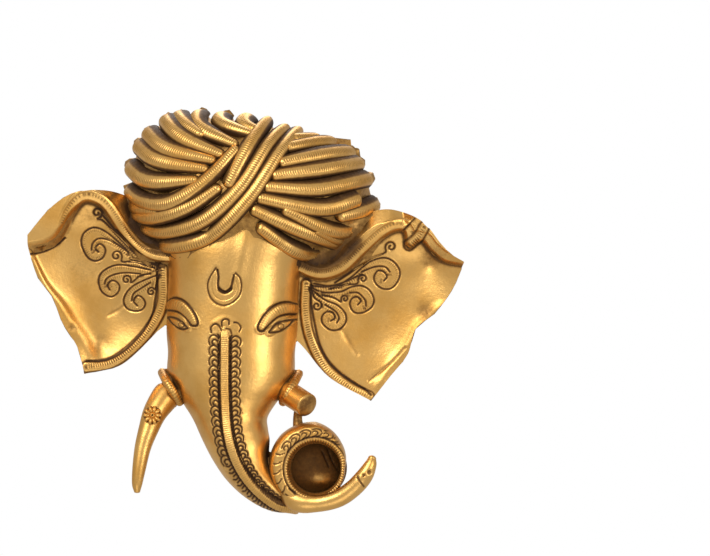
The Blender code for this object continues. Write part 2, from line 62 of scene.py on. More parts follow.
SQUARE = 0.220 / 437
ORIGIN_ACROSS = 246
ORIGIN_DOWN = 150
FRONT_SINK = 0.0011
TURBAN_SINK = 0.0019
EAR_SINK = 0.0022
SINK_SHARE = 0.6
FRONT_FILM = 0.38
FRONT_SHADE_AND_PATINA = 0.8
PLAIN_PATINA = 0.30
HOLLOW_SHADE_AND_PATINA = 0.45
ROOT_LIP = -0.134
OFF_WALL = 2e-4
BACK_RIM = -0.0003
TRUNK_BELOW = -0.1395
TUSKS_BELOW = -0.118
TUSK_LEFT_OF = -0.036
TUSK_RIGHT_OF = 0.0265
TURBAN_ABOVE = -0.056
TURBAN_SIDES = (-0.060, 0.066)
TURBAN_BACK = -0.002
EARS_BELOW = 186
EARS_BESIDE = (128, 376)
LOBES_DOWN = (262, 402)
LOBES_BESIDE = (163, 303)
LOBES_OUT = 42
SMOOTHINGS = 4
SHARP = 60
CASTING_SHARP = 35
SEAM = 2e-6
WELD = 4e-6
SKIP = 2e-5
HOLLOW_HALF = 0.062
HOLLOW_LOW = -0.142
HOLLOW_AXIS = (-0.004, -0.01)
HOLLOW_AXIS_ENDS = (-0.11, -0.03)
TO_WALL = Vector((0, 1, 0))
FREE_OF_HOLLOW = ("casting", "left_ear", "right_ear", "trunk_curl", "cup_floor", "trunk_tip")
LUG_HALF = 0.011
LUG_TOP = 0.014
LUG_FRONT = -0.0035
CELL = 0.0011
MARGIN = 0.012
MOST_CROSSINGS = 40
BLUR_PASSES = (2, 9)
BLUR_REACH = (0.0022, 0.0065)
BLUR_FLOOR = (0.26, 0.30)
BLUR_GAIN = (1.3, 1.7)
BRIGHT_BRASS = (0.85, 0.50, 0.155, 1)
WARM_BRASS = (0.69, 0.37, 0.09, 1)
# The dark browns stand for patina in hollows and chased lines, and also for painted shade in hollows and
# gaps.
THIN_PATINA_AND_SHADE = (0.26, 0.130, 0.036, 1)
DEEP_PATINA_AND_SHADE = (0.055, 0.024, 0.008, 1)
NOISES = ((38, 5, 0.6), (520, 4, 0.65), (1500, 3, 0.6))


def add(tree, kind, **settings):
    """A shader node with its settings, its sockets by name with _ for a blank, set or linked."""
    node = tree.nodes.new(kind)
    for key, value in settings.items():
        if hasattr(node, key):
            setattr(node, key, value)
            continue
        socket = node.inputs[key.replace("_", " ")]
        if isinstance(value, bpy.types.NodeSocket):
            tree.links.new(value, socket)
        else:
            socket.default_value = value
    return node


def ramp(source, low, high, start, end):
    """The source's values from low to high, carried over to the stretch from start to end."""
    limits = {"From_Min": low, "From_Max": high, "To_Min": start, "To_Max": end}
    return add(brass, "ShaderNodeMapRange", Value=source, **limits).outputs["Result"]


def plus(first, second, clamp=False):
    node = add(brass, "ShaderNodeMath", operation="ADD", use_clamp=clamp)
    brass.links.new(first, node.inputs[0])
    brass.links.new(second, node.inputs[1])
    return node.outputs["Value"]


def blend_colours(tree, share, first, second):
    node = add(tree, "ShaderNodeMix", data_type="RGBA", Factor=share)
    for socket, colour in zip([s for s in node.inputs if s.type == "RGBA"], (first, second)):
        if isinstance(colour, tuple):
            socket.default_value = colour
        else:
            tree.links.new(colour, socket)
    return [s for s in node.outputs if s.type == "RGBA"][0]


metal = bpy.data.materials.new("antique_brass")
metal.use_nodes = True
brass = metal.node_tree
shader = brass.nodes["Principled BSDF"]
shader.inputs["Specular IOR Level"].default_value = 0.25
place = add(brass, "ShaderNodeTexCoord").outputs["Object"]
# The per-point darkness read here is patina together with painted shade, and the brass is darkened towards
# the dark browns by it.
patina_and_shade_fac = add(brass, "ShaderNodeAttribute", attribute_name="patina_and_shade").outputs["Fac"]
clouds, specks, grain = [
    add(brass, "ShaderNodeTexNoise", Vector=place, Scale=scale, Detail=detail,
        Roughness=rough).outputs["Fac"]
    for scale, detail, rough in NOISES]
uneven = plus(patina_and_shade_fac, ramp(specks, 0.3, 0.7, -0.10, 0.10))
brass_colour = blend_colours(brass, ramp(clouds, 0.42, 0.66, 0, 1), BRIGHT_BRASS, WARM_BRASS)
dulled_and_shaded = blend_colours(brass, ramp(uneven, 0.10, 0.50, 0, 1), brass_colour, THIN_PATINA_AND_SHADE)
skin = add(brass, "ShaderNodeBump", Strength=0.10, Distance=0.0003, Height=grain).outputs["Normal"]
looks = {
    "Base Color": blend_colours(brass, ramp(uneven, 0.42, 0.92, 0, 1), dulled_and_shaded, DEEP_PATINA_AND_SHADE),
    "Metallic": ramp(uneven, 0.20, 0.80, 1, 0.30),
    "Roughness": plus(ramp(uneven, 0, 0.8, 0.35, 0.62), ramp(clouds, 0.35, 0.7, -0.05, 0.07), clamp=True),
    "Normal": add(brass, "ShaderNodeBump", Strength=0.16, Distance=0.0006, Height=specks,
                  Normal=skin).outputs["Normal"],
}
for name, source in looks.items():
    brass.links.new(source, shader.inputs[name])


def points_of(mesh, kind="co"):
    flat = np.empty(len(mesh.vertices) * 3, np.float32)
    mesh.vertices.foreach_get(kind, flat)
    return flat.reshape(-1, 3).astype(float)


def move_points(mesh, points):
    mesh.vertices.foreach_set("co", points.astype(np.float32).ravel())
    mesh.update()


@contextmanager
def editing(mesh):
    """The mesh's shape, written back once it is changed."""
    shape = bmesh.new()
    shape.from_mesh(mesh)
    yield shape
    shape.to_mesh(mesh)
    shape.free()
    mesh.update()


def solid_blurs(tree):
    """How full of metal each place round the casting is, blurred to two widths."""
    margin = Vector((MARGIN, MARGIN, MARGIN))
    low, high = cad_box[0] - margin, cad_box[1] + margin
    counts = [int((b - a) / CELL) for a, b in zip(low, high)]
    full = np.zeros(counts, np.float32)
    depth = low.y + (np.arange(counts[1]) + 0.5) * CELL
    for i in range(counts[0]):
        for k in range(counts[2]):
            start = Vector((low.x + (i + 0.5) * CELL, low.y - CELL, low.z + (k + 0.5) * CELL))
            crossings = []
            hit = tree.ray_cast(start, TO_WALL)[0]
            while hit is not None and len(crossings) < MOST_CROSSINGS:
                crossings.append(hit.y)
                hit = tree.ray_cast(hit + TO_WALL * SEAM, TO_WALL)[0]
            for a, b in zip(crossings[::2], crossings[1::2]):
                full[i, (depth > a) & (depth < b), k] = 1
    blurs = []
    for passes in BLUR_PASSES:
        soft = full
        for _ in range(passes):
            for axis in range(3):
                soft = (np.roll(soft, 1, axis) + soft + np.roll(soft, -1, axis)) / 3
        blurs.append(soft)
    return np.array(low), blurs


# As darkness, this paints shade into hollows and gaps, like ambient occlusion, together with the patina
# that settles there.
def shut_in(points, normals):
    """How much metal stands in front of each point, from 0 in the open to 1 in a deep hollow."""
    shut = np.zeros(len(points))
    for soft, reach, floor, gain in zip(metal_blurs, BLUR_REACH, BLUR_FLOOR, BLUR_GAIN):
        at = (points + normals * reach - blur_low) / CELL - 0.5
        cell = np.clip(at.astype(int), 0, np.array(soft.shape) - 2)
        share = np.clip(at - cell, 0, 1)
        total = np.zeros(len(points))
        for corner in np.ndindex(2, 2, 2):
            weight = np.prod(np.where(corner, share, 1 - share), axis=1)
            total += weight * soft[tuple((cell + corner).T)]
        shut = np.maximum(shut, np.clip((total - floor) * gain, 0, 1))
    return shut


def closed_in(mesh):
    return shut_in(points_of(mesh), points_of(mesh, "normal"))


def set_patina_and_shade(mesh, dark):
    attribute = mesh.attributes.get("patina_and_shade") or mesh.attributes.new("patina_and_shade", "FLOAT", "POINT")
    attribute.data.foreach_set("value", np.clip(dark, 0, 1).astype(np.float32))


def as_cast(points, normals):
    """The dull film of metal that was never filed or polished, darker in the hollows with patina and
    painted shade.
    """
    deeper = HOLLOW_SHADE_AND_PATINA * shut_in(points, normals)
    return PLAIN_PATINA + np.where(points[:, 2] < ROOT_LIP, 0, deeper)


def in_hollow(place):
    """Covered in front, open behind, and beside a wall that faces the middle of the hollow."""
    if abs(place.x) > HOLLOW_HALF or place.z < HOLLOW_LOW:
        return False
    if solid_tree.ray_cast(place, TO_WALL)[0] or not solid_tree.ray_cast(place, -TO_WALL)[0]:
        return False
    low, high = HOLLOW_AXIS_ENDS
    middle = Vector(HOLLOW_AXIS + (min(max(place.z, low), high),))
    return solid_tree.find_nearest(place)[1].dot(place - middle) < 0


def finish_piece(name, mesh, dark, sharp=SHARP):
    """The mesh as a piece of the mask, in its metal."""
    if name != "casting":
        normals = points_of(mesh, "normal")
        behind = ease(0, 0.6, normals[:, 1])
        dark = dark + (np.maximum(dark, as_cast(points_of(mesh), normals)) - dark) * behind
    set_patina_and_shade(mesh, dark)
    if name not in FREE_OF_HOLLOW:
        with editing(mesh) as shape:
            bmesh.ops.delete(shape, geom=[v for v in shape.verts if in_hollow(v.co)], context="VERTS")
    mesh.materials.clear()
    mesh.materials.append(metal)
    mesh.shade_smooth()
    mesh.set_sharp_from_angle(angle=math.radians(sharp))
    piece = bpy.data.objects.new(name, mesh)
    bpy.context.scene.collection.objects.link(piece)
    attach(piece, "root")
    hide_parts("ganesha_mask")


def ease(low, high, value):
    share = np.clip((value - low) / (high - low), 0, 1)
    return share * share * (3 - 2 * share)


def outside(value, limits):
    return value < limits[0] or value > limits[1]


def on_ears(point):
    across, down = point.x / SQUARE + ORIGIN_ACROSS, ORIGIN_DOWN - point.z / SQUARE
    lobe = not outside(down, LOBES_DOWN) and outside(across, LOBES_BESIDE) and -point.y / SQUARE < LOBES_OUT
    return down > EARS_BELOW and (outside(across, EARS_BESIDE) or lobe)


def on_turban(point):
    beyond = point.z <= TURBAN_ABOVE or outside(point.x, TURBAN_SIDES) or point.y >= TURBAN_BACK
    return not beyond and not on_ears(point)


def sink_at(point):
    return EAR_SINK if on_ears(point) else TURBAN_SINK if on_turban(point) else FRONT_SINK


cast = bmesh.new()
cast.from_mesh(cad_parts["ganesha_mask"].data)
bmesh.ops.remove_doubles(cast, verts=cast.verts, dist=SEAM)
solid = bpy.data.objects.new("solid", bpy.data.meshes.new("solid"))
cast.to_mesh(solid.data)
bpy.context.scene.collection.objects.link(solid)
bpy.context.view_layer.update()
solid_tree = BVHTree.FromObject(solid, bpy.context.evaluated_depsgraph_get())
blur_low, metal_blurs = solid_blurs(solid_tree)
bpy.data.objects.remove(solid)
cast.normal_update()
for _ in range(SMOOTHINGS):
    front = [v for v in cast.verts
             if v.normal.y < 0.1 and on_turban(v.co) and not in_hollow(v.co + v.normal * OFF_WALL)
             and not (abs(v.co.x) < LUG_HALF and v.co.y > LUG_FRONT)]
    bmesh.ops.smooth_vert(cast, verts=front, factor=0.5,
                          use_axis_x=True, use_axis_y=True, use_axis_z=True)
body = bpy.data.meshes.new("casting")
cast.to_mesh(body)
cast.free()
points, normals = points_of(body), points_of(body, "normal")
facing_front = 1 - ease(-0.1, 0.5, normals[:, 1])
inner = np.array([in_hollow(Vector(p + n * OFF_WALL)) for p, n in zip(points, normals)])
lug = (np.abs(points) < (LUG_HALF, -LUG_FRONT, LUG_TOP)).all(axis=1)
beside_head = (points[:, 0] < TUSK_LEFT_OF) | (points[:, 0] > TUSK_RIGHT_OF)
facing_front[(points[:, 2] < TRUNK_BELOW) | (beside_head & (points[:, 2] < TUSKS_BELOW))] = 1
facing_front[inner | lug] = 0
wanted = np.array([sink_at(Vector(point)) for point in points])
room = [solid_tree.ray_cast(Vector(p - n * SKIP), Vector(-n))[3] or 1 for p, n in zip(points, normals)]
sunk = points - normals * (np.minimum(wanted, SINK_SHARE * np.array(room)) * facing_front)[:, None]
sunk[points[:, 1] > BACK_RIM, 1] = points[points[:, 1] > BACK_RIM, 1]
move_points(body, sunk)
# Where the sunk front shows between the chased skins it is a dull film, darkened in the hollows with
# painted shade as well as patina.
in_front = (normals[:, 1] < -0.3) & (facing_front > 0)
filed = FRONT_FILM + FRONT_SHADE_AND_PATINA * shut_in(points, normals)
body_dark = np.where(in_front, filed, as_cast(points, normals))
finish_piece("casting", body, body_dark, CASTING_SHARP)

# Head and trunk
# The face and the long trunk are one smooth skin, filed and polished, with a hatched rib in the middle.
# The brows, eyes, forehead mark and the waves beside the rib are cut with a chisel and left dark.

HEAD_STATIONS = [
    (250, 200, 84, 72, 25, -60, 0, 2.4),
    (243, 225, 80, 81, 28, -60, 0, 2.4),
    (238, 245, 74, 86, 30, -60, 0, 2.4),
    (235, 268, 67.5, 88, 30, -60, 0, 2.3),
    (233, 300, 65.5, 89, 32, -60, 0, 2.3),
    (232, 330, 65.5, 91, 34, -60, 0, 2.3),
    (231.5, 352, 63.5, 93, 36, -60, 0, 2.3),
    (231, 372, 63.5, 94, 40, -60, 0, 2.3),
    (231, 388, 57, 95, 48, -30, 0, 2.2),
    (230, 402, 47, 96, 55, -5, 0, 2.1),
    (231, 418, 37, 98, 60, 15, 2, 2),
    (236, 434, 33, 101, 66, 26, 10, 2),
    (242, 449, 30, 103, 70, 32, 20, 2),
    (249, 466, 25, 103, 71, 36, 33, 2),
    (261, 481, 21, 101, 71, 38, 50, 2),
    (279, 493, 18, 97, 70, 40, 72, 2),
    (300, 501.5, 9.5, 92, 68, 42, 90, 2),
    (322, 501, 6, 88, 66, 44, 95, 2),
]
HOLLOW_STATIONS = 13
HEAD_CELLS = (120, 206)
FRONT_CROWD = 0.72
MIDRIB = [(226, 331), (226, 345), (226, 390), (229, 430), (238, 460), (254, 484), (276, 502), (296, 507)]
MIDRIB_HALF = 4.6
MIDRIB_HEIGHT = 2.6
RIB_REACH = 24
WAVES_REACH = 18.5
HEAD_STEPS = 400
HATCH_PITCH = 2.1
WAVE_PITCH = 10.3
WAVE_STROKES = [
    [(5, 4), (7.2, 0.4), (11, -1.6), (14.8, 0.2), (16.2, 4), (15, 8)],
    [(5, 8.2), (7.2, 4.6), (10.2, 2.8), (12.6, 4.6), (12.4, 7.2), (10.6, 8)],
    [(5, 1), (7, -2.2)],
]
SLANT_STROKES = [[(5, 3), (7.5, 0), (10.5, 0.6), (13, -1)], [(5, 6), (8, 3.4), (11, 4)]]
WAVES_FROM = (5, 6)
SLANTS_FROM = 128
LAST_WAVE = 196
TOP_SWIRLS = [
    [(223, 326), (223, 321), (226.5, 318.5), (230, 320), (230, 324)],
    [(235, 322), (239, 322.5), (242, 327), (240.5, 331)],
    [(212.5, 332), (212, 327), (216, 323.5), (220, 325), (222.5, 330)],
    [(227, 328), (231, 329), (232.5, 333)],
]
FOREHEAD_MARK = [
    ([(217, 268), (211, 277), (208.5, 286), (211, 296), (217, 302.5), (225, 305), (233, 302.5),
      (240, 296), (242.5, 287), (241, 278), (236.5, 273)], 0.9, 1.1),
    ([(218.5, 270), (219.5, 277), (219, 285), (221, 290), (226, 292), (231, 290), (233, 284),
      (235, 275)], 1.2, 1.5),
    ([(220.5, 289), (226, 292), (231.5, 289)], 1.7, 1.2),
    ([(214, 277), (213, 287), (216, 296), (225, 300), (234, 296), (238, 287), (237, 280)], 0.5, 0.45),
]
BROWS = [
    {"middle": [(166, 307), (175, 304.5), (184, 307.5), (191, 314), (196, 323)], "half": 6.2,
     "lines": [[(165, 303.5), (172, 298.5), (178, 298), (185, 301), (192, 307.5), (197, 315),
                (199.5, 322), (198, 325.5), (194, 325.5)],
               [(165, 311), (172, 310.5), (179, 312), (186, 317), (193, 325)]]},
    {"middle": [(299, 308), (287, 308), (277, 311), (268, 317.5), (261.5, 328)], "half": 6.2,
     "lines": [[(297, 304), (288, 302), (279, 303.5), (270, 309), (263, 317), (258.5, 326), (260, 330.5),
                (264.5, 330.5)],
               [(297, 314), (288, 314), (279, 316.5), (271, 323), (264.5, 330)]]},
]
EYES = [
    {"middle": [(171, 318.5), (178, 322), (184, 325), (189, 328)], "half": 4.4,
     "lines": [[(167, 319), (171, 317), (177, 318), (183, 321.5), (189, 327.5)],
               [(170.5, 318.5), (174, 323.5), (179, 327.5), (184.5, 329), (189.5, 328)]],
     "iris": (183.5, 324.5)},
    {"middle": [(294, 319.5), (285, 323.5), (277, 328), (270, 331.5)], "half": 4.6,
     "lines": [[(296, 319.5), (288, 320), (281, 321.5), (275, 325), (269.5, 331.5)],
               [(292, 320.5), (287.5, 326.5), (281, 330.5), (275, 332), (269.5, 332)]],
     "iris": (280.5, 326)},
]
IRIS_RADIUS = 2.7
FINE_PITCH = 2.4
FOREHEAD_CREST = [(248, 222), (244, 250), (239, 276)]
MARK_MIDDLE = (226, 286)
MARK_REACH = 21
INSIDE_HEAD = (-0.007, -0.02, -0.11)
FAR_OFF = 1e9
LINE_STEPS = 12
GRID_CUTS = 2
UNDER_TURBAN = -0.062
COVERED = 0.005
AT_WALL = -0.0005


def spot(across, down, out):
    """The layout's spots in metres, one row each."""
    places = [(across - ORIGIN_ACROSS) * SQUARE, -out * SQUARE, (ORIGIN_DOWN - down) * SQUARE]
    return np.column_stack(places)


def unit_rows(rows, axis=1):
    return rows / np.linalg.norm(rows, axis=axis, keepdims=True)


def signed_power(value, power):
    return np.sign(value) * np.abs(value) ** power


def bell(value, middle, width, power=2):
    """1 at the middle, and falling away on both sides within about the width."""
    return np.exp(-((value - middle) / width) ** power)


def layout(points):
    """Across and down of places in metres."""
    return np.column_stack([points[:, 0] / SQUARE + ORIGIN_ACROSS, ORIGIN_DOWN - points[:, 2] / SQUARE])


def smooth_line(given, count):
    """Even steps along a smooth line through the points, every column carried along."""
    given = np.array(given, float)
    padded = np.vstack([2 * given[0] - given[1], given, 2 * given[-1] - given[-2]])
    step = np.linspace(0, 1, LINE_STEPS, endpoint=False)[:, None]
    parts = []
    for a, b, c, d in zip(padded, padded[1:], padded[2:], padded[3:]):
        cubic, square = 3 * b - a - 3 * c + d, 2 * a - 5 * b + 4 * c - d
        parts.append(b + 0.5 * ((c - a) * step + square * step**2 + cubic * step**3))
    fine = np.vstack(parts + [given[-1:]])
    run = np.append(0, np.cumsum(np.linalg.norm(np.diff(fine[:, :2], axis=0), axis=1)))
    at = np.linspace(0, run[-1], count)
    return np.column_stack([np.interp(at, run, column) for column in fine.T])


def length_of(line):
    return float(np.linalg.norm(np.diff(np.array(line, float)[:, :2], axis=0), axis=1).sum())


def traced(line, pitch=1.5):
    return smooth_line(line, max(3, int(length_of(line) / pitch) + 2))


def beside(flat, line, limit=FAR_OFF):
    """For each spot its distance from the line, the side it lies on and how far along it lies."""
    low, high = line.min(axis=0) - limit, line.max(axis=0) + limit
    near = np.flatnonzero(((flat > low) & (flat < high)).all(axis=1))
    gap, side, run = np.full(len(flat), FAR_OFF), np.ones(len(flat)), np.zeros(len(flat))
    best, hand, along = gap[near], side[near], run[near]
    done = 0
    for a, b in zip(line, line[1:]):
        way = b - a
        size = math.hypot(*way)
        share = np.clip(((flat[near] - a) @ way) / size**2, 0, 1)
        off = flat[near] - (a + share[:, None] * way)
        far = np.hypot(off[:, 0], off[:, 1])
        nearer = far < best
        best[nearer] = far[nearer]
        hand[nearer] = np.sign(way[0] * off[nearer, 1] - way[1] * off[nearer, 0])
        along[nearer] = done + share[nearer] * size
        done += size
    gap[near], side[near], run[near] = best, hand, along
    return gap, side, run


def cut(flat, lines, half):
    """How deep in a chiselled line each spot lies, from 0 to 1."""
    deep = np.zeros(len(flat))
    for line in lines:
        gap = beside(flat, line, 3 * half)[0]
        deep = np.maximum(deep, bell(np.minimum(gap, 20), 0, half))
    return deep


def ticks(run, pitch):
    """Short chisel strokes side by side, from 0 to 1."""
    return (0.5 + 0.5 * np.cos(run * 2 * math.pi / pitch)) ** 1.5


def bent_grid(name, cells, surface, fine_where=None, weld=False):
    """A sheet cut from a flat grid, finer where it is chased, and bent over the surface."""
    shape = bmesh.new()
    bmesh.ops.create_grid(shape, x_segments=cells[0], y_segments=cells[1], size=0.5)
    if fine_where:
        unit = np.array([v.co[:2] for v in shape.verts]) + 0.5
        wanted = fine_where(layout(surface(unit)))
        edges = [e for e in shape.edges if wanted[e.verts[0].index] and wanted[e.verts[1].index]]
        bmesh.ops.subdivide_edges(shape, edges=edges, cuts=GRID_CUTS, use_grid_fill=True)
        bmesh.ops.triangulate(shape, faces=[f for f in shape.faces if len(f.verts) > 4])
    unit = np.array([v.co[:2] for v in shape.verts]) + 0.5
    bent = surface(unit)
    for vert, place in zip(shape.verts, bent.tolist()):
        vert.co = place
    if weld:
        bmesh.ops.remove_doubles(shape, verts=shape.verts, dist=WELD)
    shape.normal_update()
    mesh = bpy.data.meshes.new(name)
    shape.to_mesh(mesh)
    shape.free()
    return mesh


def face_front(mesh, middle):
    """Turns the faces so that they point away from the middle."""
    points, normals = points_of(mesh), points_of(mesh, "normal")
    if ((points - np.array(middle)) * normals).sum() < 0:
        mesh.flip_normals()
        mesh.update()


def raise_relief(mesh, height):
    move_points(mesh, points_of(mesh) + points_of(mesh, "normal") * (height * SQUARE)[:, None])


def head_surface(unit):
    u, v = unit[:, 0], 1 - unit[:, 1]
    steps = np.linspace(0, 1, len(head_run))
    across, down, half, front, widest, rear, lean, full = (np.interp(v, steps, c) for c in head_run.T)
    reach = np.clip(widest / (widest - rear), 0, 1) ** (full / 2)
    low = -np.arcsin(reach)
    wide = 2 * u - 1
    crowd = wide * (FRONT_CROWD + (1 - FRONT_CROWD) * wide**2)
    angle = math.pi / 2 - (math.pi / 2 - low) * crowd
    side = signed_power(np.cos(angle), 2 / full) * half
    deep = signed_power(np.sin(angle), 2 / full)
    out = widest + deep * np.where(deep > 0, front - widest, widest - rear)
    turn = np.radians(lean)
    return spot(across + side * np.cos(turn), down - side * np.sin(turn), np.maximum(out, 0.2))


def wave_lines():
    """The curled strokes down both sides of the rib, smaller towards the tip, slanted on the left."""
    rib = traced(MIDRIB)
    heading = unit_rows(np.gradient(rib, axis=0))
    total = length_of(rib)
    for hand, start in zip((-1, 1), WAVES_FROM):
        at = start
        while at < LAST_WAVE:
            size = np.interp(at, [0, 110, 200], [1, 0.9, 0.5 if hand > 0 else 0.8])
            slanted = hand < 0 and at > SLANTS_FROM
            for stroke in SLANT_STROKES if slanted else WAVE_STROKES:
                line = []
                for aside, on in stroke:
                    place = (at + on * size) / total * (len(rib) - 1)
                    ahead = min(max(place, 0), len(rib) - 1)
                    base, way = [np.array([np.interp(ahead, range(len(rib)), column) for column in table.T])
                                 for table in (rib, heading)]
                    base = base + way * (place - ahead) * total / (len(rib) - 1)
                    side = np.array([way[1], -way[0]]) * hand
                    line.append(base + side * aside * size)
                yield traced(line)
            at += WAVE_PITCH * size * (0.75 if slanted else 1)


def head_relief(flat, facing):
    """Height and darkness of everything chased on the head and trunk."""
    high, dark = np.zeros(len(flat)), np.zeros(len(flat))
    gap, _, run = beside(flat, traced(MIDRIB), RIB_REACH)
    rib = ease(MIDRIB_HALF + 0.6, MIDRIB_HALF - 1.6, gap) * ease(-4, 6, run)
    hatch = rib * ticks(run, HATCH_PITCH) * ease(3.4, 2.4, gap)
    high += MIDRIB_HEIGHT * rib - 0.35 * hatch
    moat = bell(gap - MIDRIB_HALF, 1, 1.1) * ease(0, 12, run)
    high -= 1.1 * moat
    bulge = ease(17.5, 12, gap) * ease(MIDRIB_HALF, MIDRIB_HALF + 3, gap)
    bulge = bulge * ease(-14, 4, run) * ease(215, 190, run)
    high += 0.5 * bulge
    waves = cut(flat, list(wave_lines()) + [traced(line) for line in TOP_SWIRLS], 0.85)
    high -= 1.05 * waves
    dark += 0.95 * moat + 0.85 * waves + 0.22 * hatch
    dark += 0.16 * bulge
    for line, half, depth in FOREHEAD_MARK:
        groove = cut(flat, [traced(line)], half)
        high -= depth * groove
        dark += groove * min(1, 0.75 * depth)
    for form in BROWS + EYES:
        gap, _, run = beside(flat, traced(form["middle"]), 14)
        bump = np.sqrt(np.clip(1 - (gap / form["half"]) ** 2, 0, 1))
        high += 2.1 * bump
        groove = cut(flat, [traced(line) for line in form["lines"]], 1.15)
        high -= 1.5 * groove
        dark += 0.95 * groove
        if "iris" in form:
            far = np.hypot(*(flat - form["iris"]).T)
            ring = bell(far, IRIS_RADIUS, 0.6) * ease(7, 5, far)
            high -= 0.7 * ring
            dark += 0.55 * ring
        else:
            strokes = ticks(run, FINE_PITCH) * ease(form["half"] - 1, form["half"] - 3, gap)
            high -= 0.22 * strokes
            dark += 0.2 * strokes
    high += bell(beside(flat, traced(FOREHEAD_CREST), RIB_REACH)[0], 0, 6)
    return high * facing, dark * facing


def chased_zone(flat):
    wanted = beside(flat, traced(MIDRIB), RIB_REACH)[0] < WAVES_REACH
    for form in BROWS + EYES:
        wanted |= beside(flat, traced(form["middle"]), 12)[0] < form["half"] + 3
    return wanted | (np.hypot(*(flat - MARK_MIDDLE).T) < MARK_REACH)


head_run = smooth_line(HEAD_STATIONS, HEAD_STEPS)
head = bent_grid("head_and_trunk", HEAD_CELLS, head_surface, chased_zone, weld=True)
with editing(head) as shape:
    hidden = [v for v in shape.verts
              if (v.co.z > UNDER_TURBAN and solid_tree.find_nearest(v.co)[3] > COVERED)
              or (v.co.z < TUSKS_BELOW and v.co.y > AT_WALL)]
    bmesh.ops.delete(shape, geom=hidden, context="VERTS")
face_front(head, INSIDE_HEAD)
facing = ease(0.05, -0.25, points_of(head, "normal")[:, 1])
high, dark = head_relief(layout(points_of(head)), facing)
# Painted shade in the hollows round the face and trunk, with patina.
dark = dark + closed_in(head)
raise_relief(head, high)
finish_piece("head_and_trunk", head, dark)

# Ears
# Each ear is a thin dished sheet with a rolled and hatched rim, wavy at its outer edge.
# Leafy scrolls are chased on the dish where it meets the head.

EAR_METAL = 6
EAR_SHADE = 0.55
EAR_EDGE_PATINA = 0.35
EAR_SHARP = 50
EAR_TURNED_BACK = 0.94
EAR_EASE = 40
SIDE_STEPS = 80
SCROLL_STEPS = 14
SCROLL_WINDING = 2.6
SCROLL_TIGHTENING = 0.78
VALLEY_HALF = 7
VALLEY_SHADE = 0.8
EAR_CELLS = (250, 240)
STEP_RUN = 3.5
LONG_STEP_RUN = 13
BRINK_FALL = 1.1
BRINK_WIDTH = 22
LEFT_EAR = {
    "top": [(160, 214), (124, 195), (98, 190), (72, 194), (50, 209), (28, 235)],
    "outer": [(28, 235), (29, 250), (37, 276), (52, 298), (62, 323), (77, 348), (84, 374)],
    "bottom": [(175, 320), (157, 333), (140, 350), (118, 367), (84, 374)],
    "root": [(160, 214), (178, 250), (178, 285), (175, 318)],
    "lie": [
        (170, 262, 40), (168, 300, 32), (165, 325, 28), (130, 300, 23), (100, 300, 18), (80, 300, 20),
        (60, 312, 28), (40, 275, 34), (60, 250, 29), (90, 230, 26), (124, 258, 30), (100, 340, 19),
        (88, 366, 27), (130, 348, 26), (30, 235, 36), (60, 203, 38), (92, 192, 38), (125, 200, 34),
        (73, 335, 24), (150, 215, 30),
    ],
    "bands": [([(163, 268), (163, 300), (154.5, 322), (136, 345), (112, 362.5), (86, 367.5)], 5.2)],
    "step": [
        (195, 262), (170, 264), (150, 261), (132, 250), (117, 232), (103, 211), (93, 204), (84, 204),
        (75, 215), (64, 239), (48, 250), (20, 255),
    ],
    "step_rise": 9,
    "step_eases": (140, 175),
    "hatched_to": 165,
    "valley": [(126, 206), (135, 225), (146, 240), (160, 248), (184, 250)],
    "brink": [
        (190, 247), (165, 250), (145, 249), (129, 236), (118, 217), (105, 200), (88, 188), (70, 160),
    ],
    "lips": [
        ([(28, 248, 3), (43, 282, 4), (59, 305, 5.5), (71, 325, 6.5), (83, 343, 7.5), (92, 372, 8)], 2.8),
    ],
    "dents": [
        ((100, 345), 10, -1.8, 0.12), ((71, 328), 3.5, -1.5, 0.35), ((114, 310), 8, -0.6, 0.08),
        ((86, 268), 24, 0, 0.15), ((104, 346), 15, 0, 0.14), ((90, 216), 12, 0, 0.2),
    ],
    "grooves": [
        [(157, 270), (157, 285), (155, 300), (153, 312), (149, 322), (143, 332), (136, 340), (127, 349),
         (117, 356), (108, 360), (98, 362), (86, 362)],
        [(31, 254), (42, 252), (50, 249), (58, 244), (65, 238)],
    ],
    "creases": [([(107, 315), (115, 311), (122, 306)], 2.2, 0.5)],
    "scrolls": [
        [(133, 258), (122, 246), (110, 235), (100, 229), (92, 228), (84, 233), (81, 241), (83, 250),
         (88, 258), (95, 261), (102, 258), (105, 251), (103, 246), (99, 244), (95, 248), (98, 252)],
        [(128, 252), (115, 243), (105, 239), (97, 239), (92, 244), (91, 250)],
        [(150, 270), (135, 267), (120, 265), (110, 267), (101, 273), (98, 281), (100, 290), (105, 295),
         (111, 297), (117, 293), (119, 287), (116, 282), (111, 281), (107, 285), (109, 290)],
        [(140, 274), (125, 273), (113, 275), (106, 279), (104, 284)],
        [(158, 275), (145, 280), (133, 286), (126, 293), (123, 301), (126, 308), (133, 311), (141, 310),
         (145, 304), (142, 298), (137, 296), (133, 301), (137, 306)],
        [(150, 283), (140, 289), (133, 294), (131, 301)], [(158, 266), (145, 262), (133, 258)],
        [(160, 268), (150, 262), (138, 252), (126, 240), (116, 230)],
        [(158, 264), (146, 259), (134, 251), (122, 239), (112, 227), (103, 216)],
        [(154, 268), (144, 265), (136, 262), (128, 262)],
    ],
    "curls": [
        ([(122, 240), (112, 230), (103, 221), (97, 219)], (97, 213), 6),
        ([(150, 265), (135, 261), (122, 262)], (116, 256), 6),
        ([(150, 274), (140, 276), (131, 283)], (126, 280), 5),
        ([(160, 274), (157, 282), (155, 290)], (151, 292), 4.6),
    ],
    "hand": -1,
}
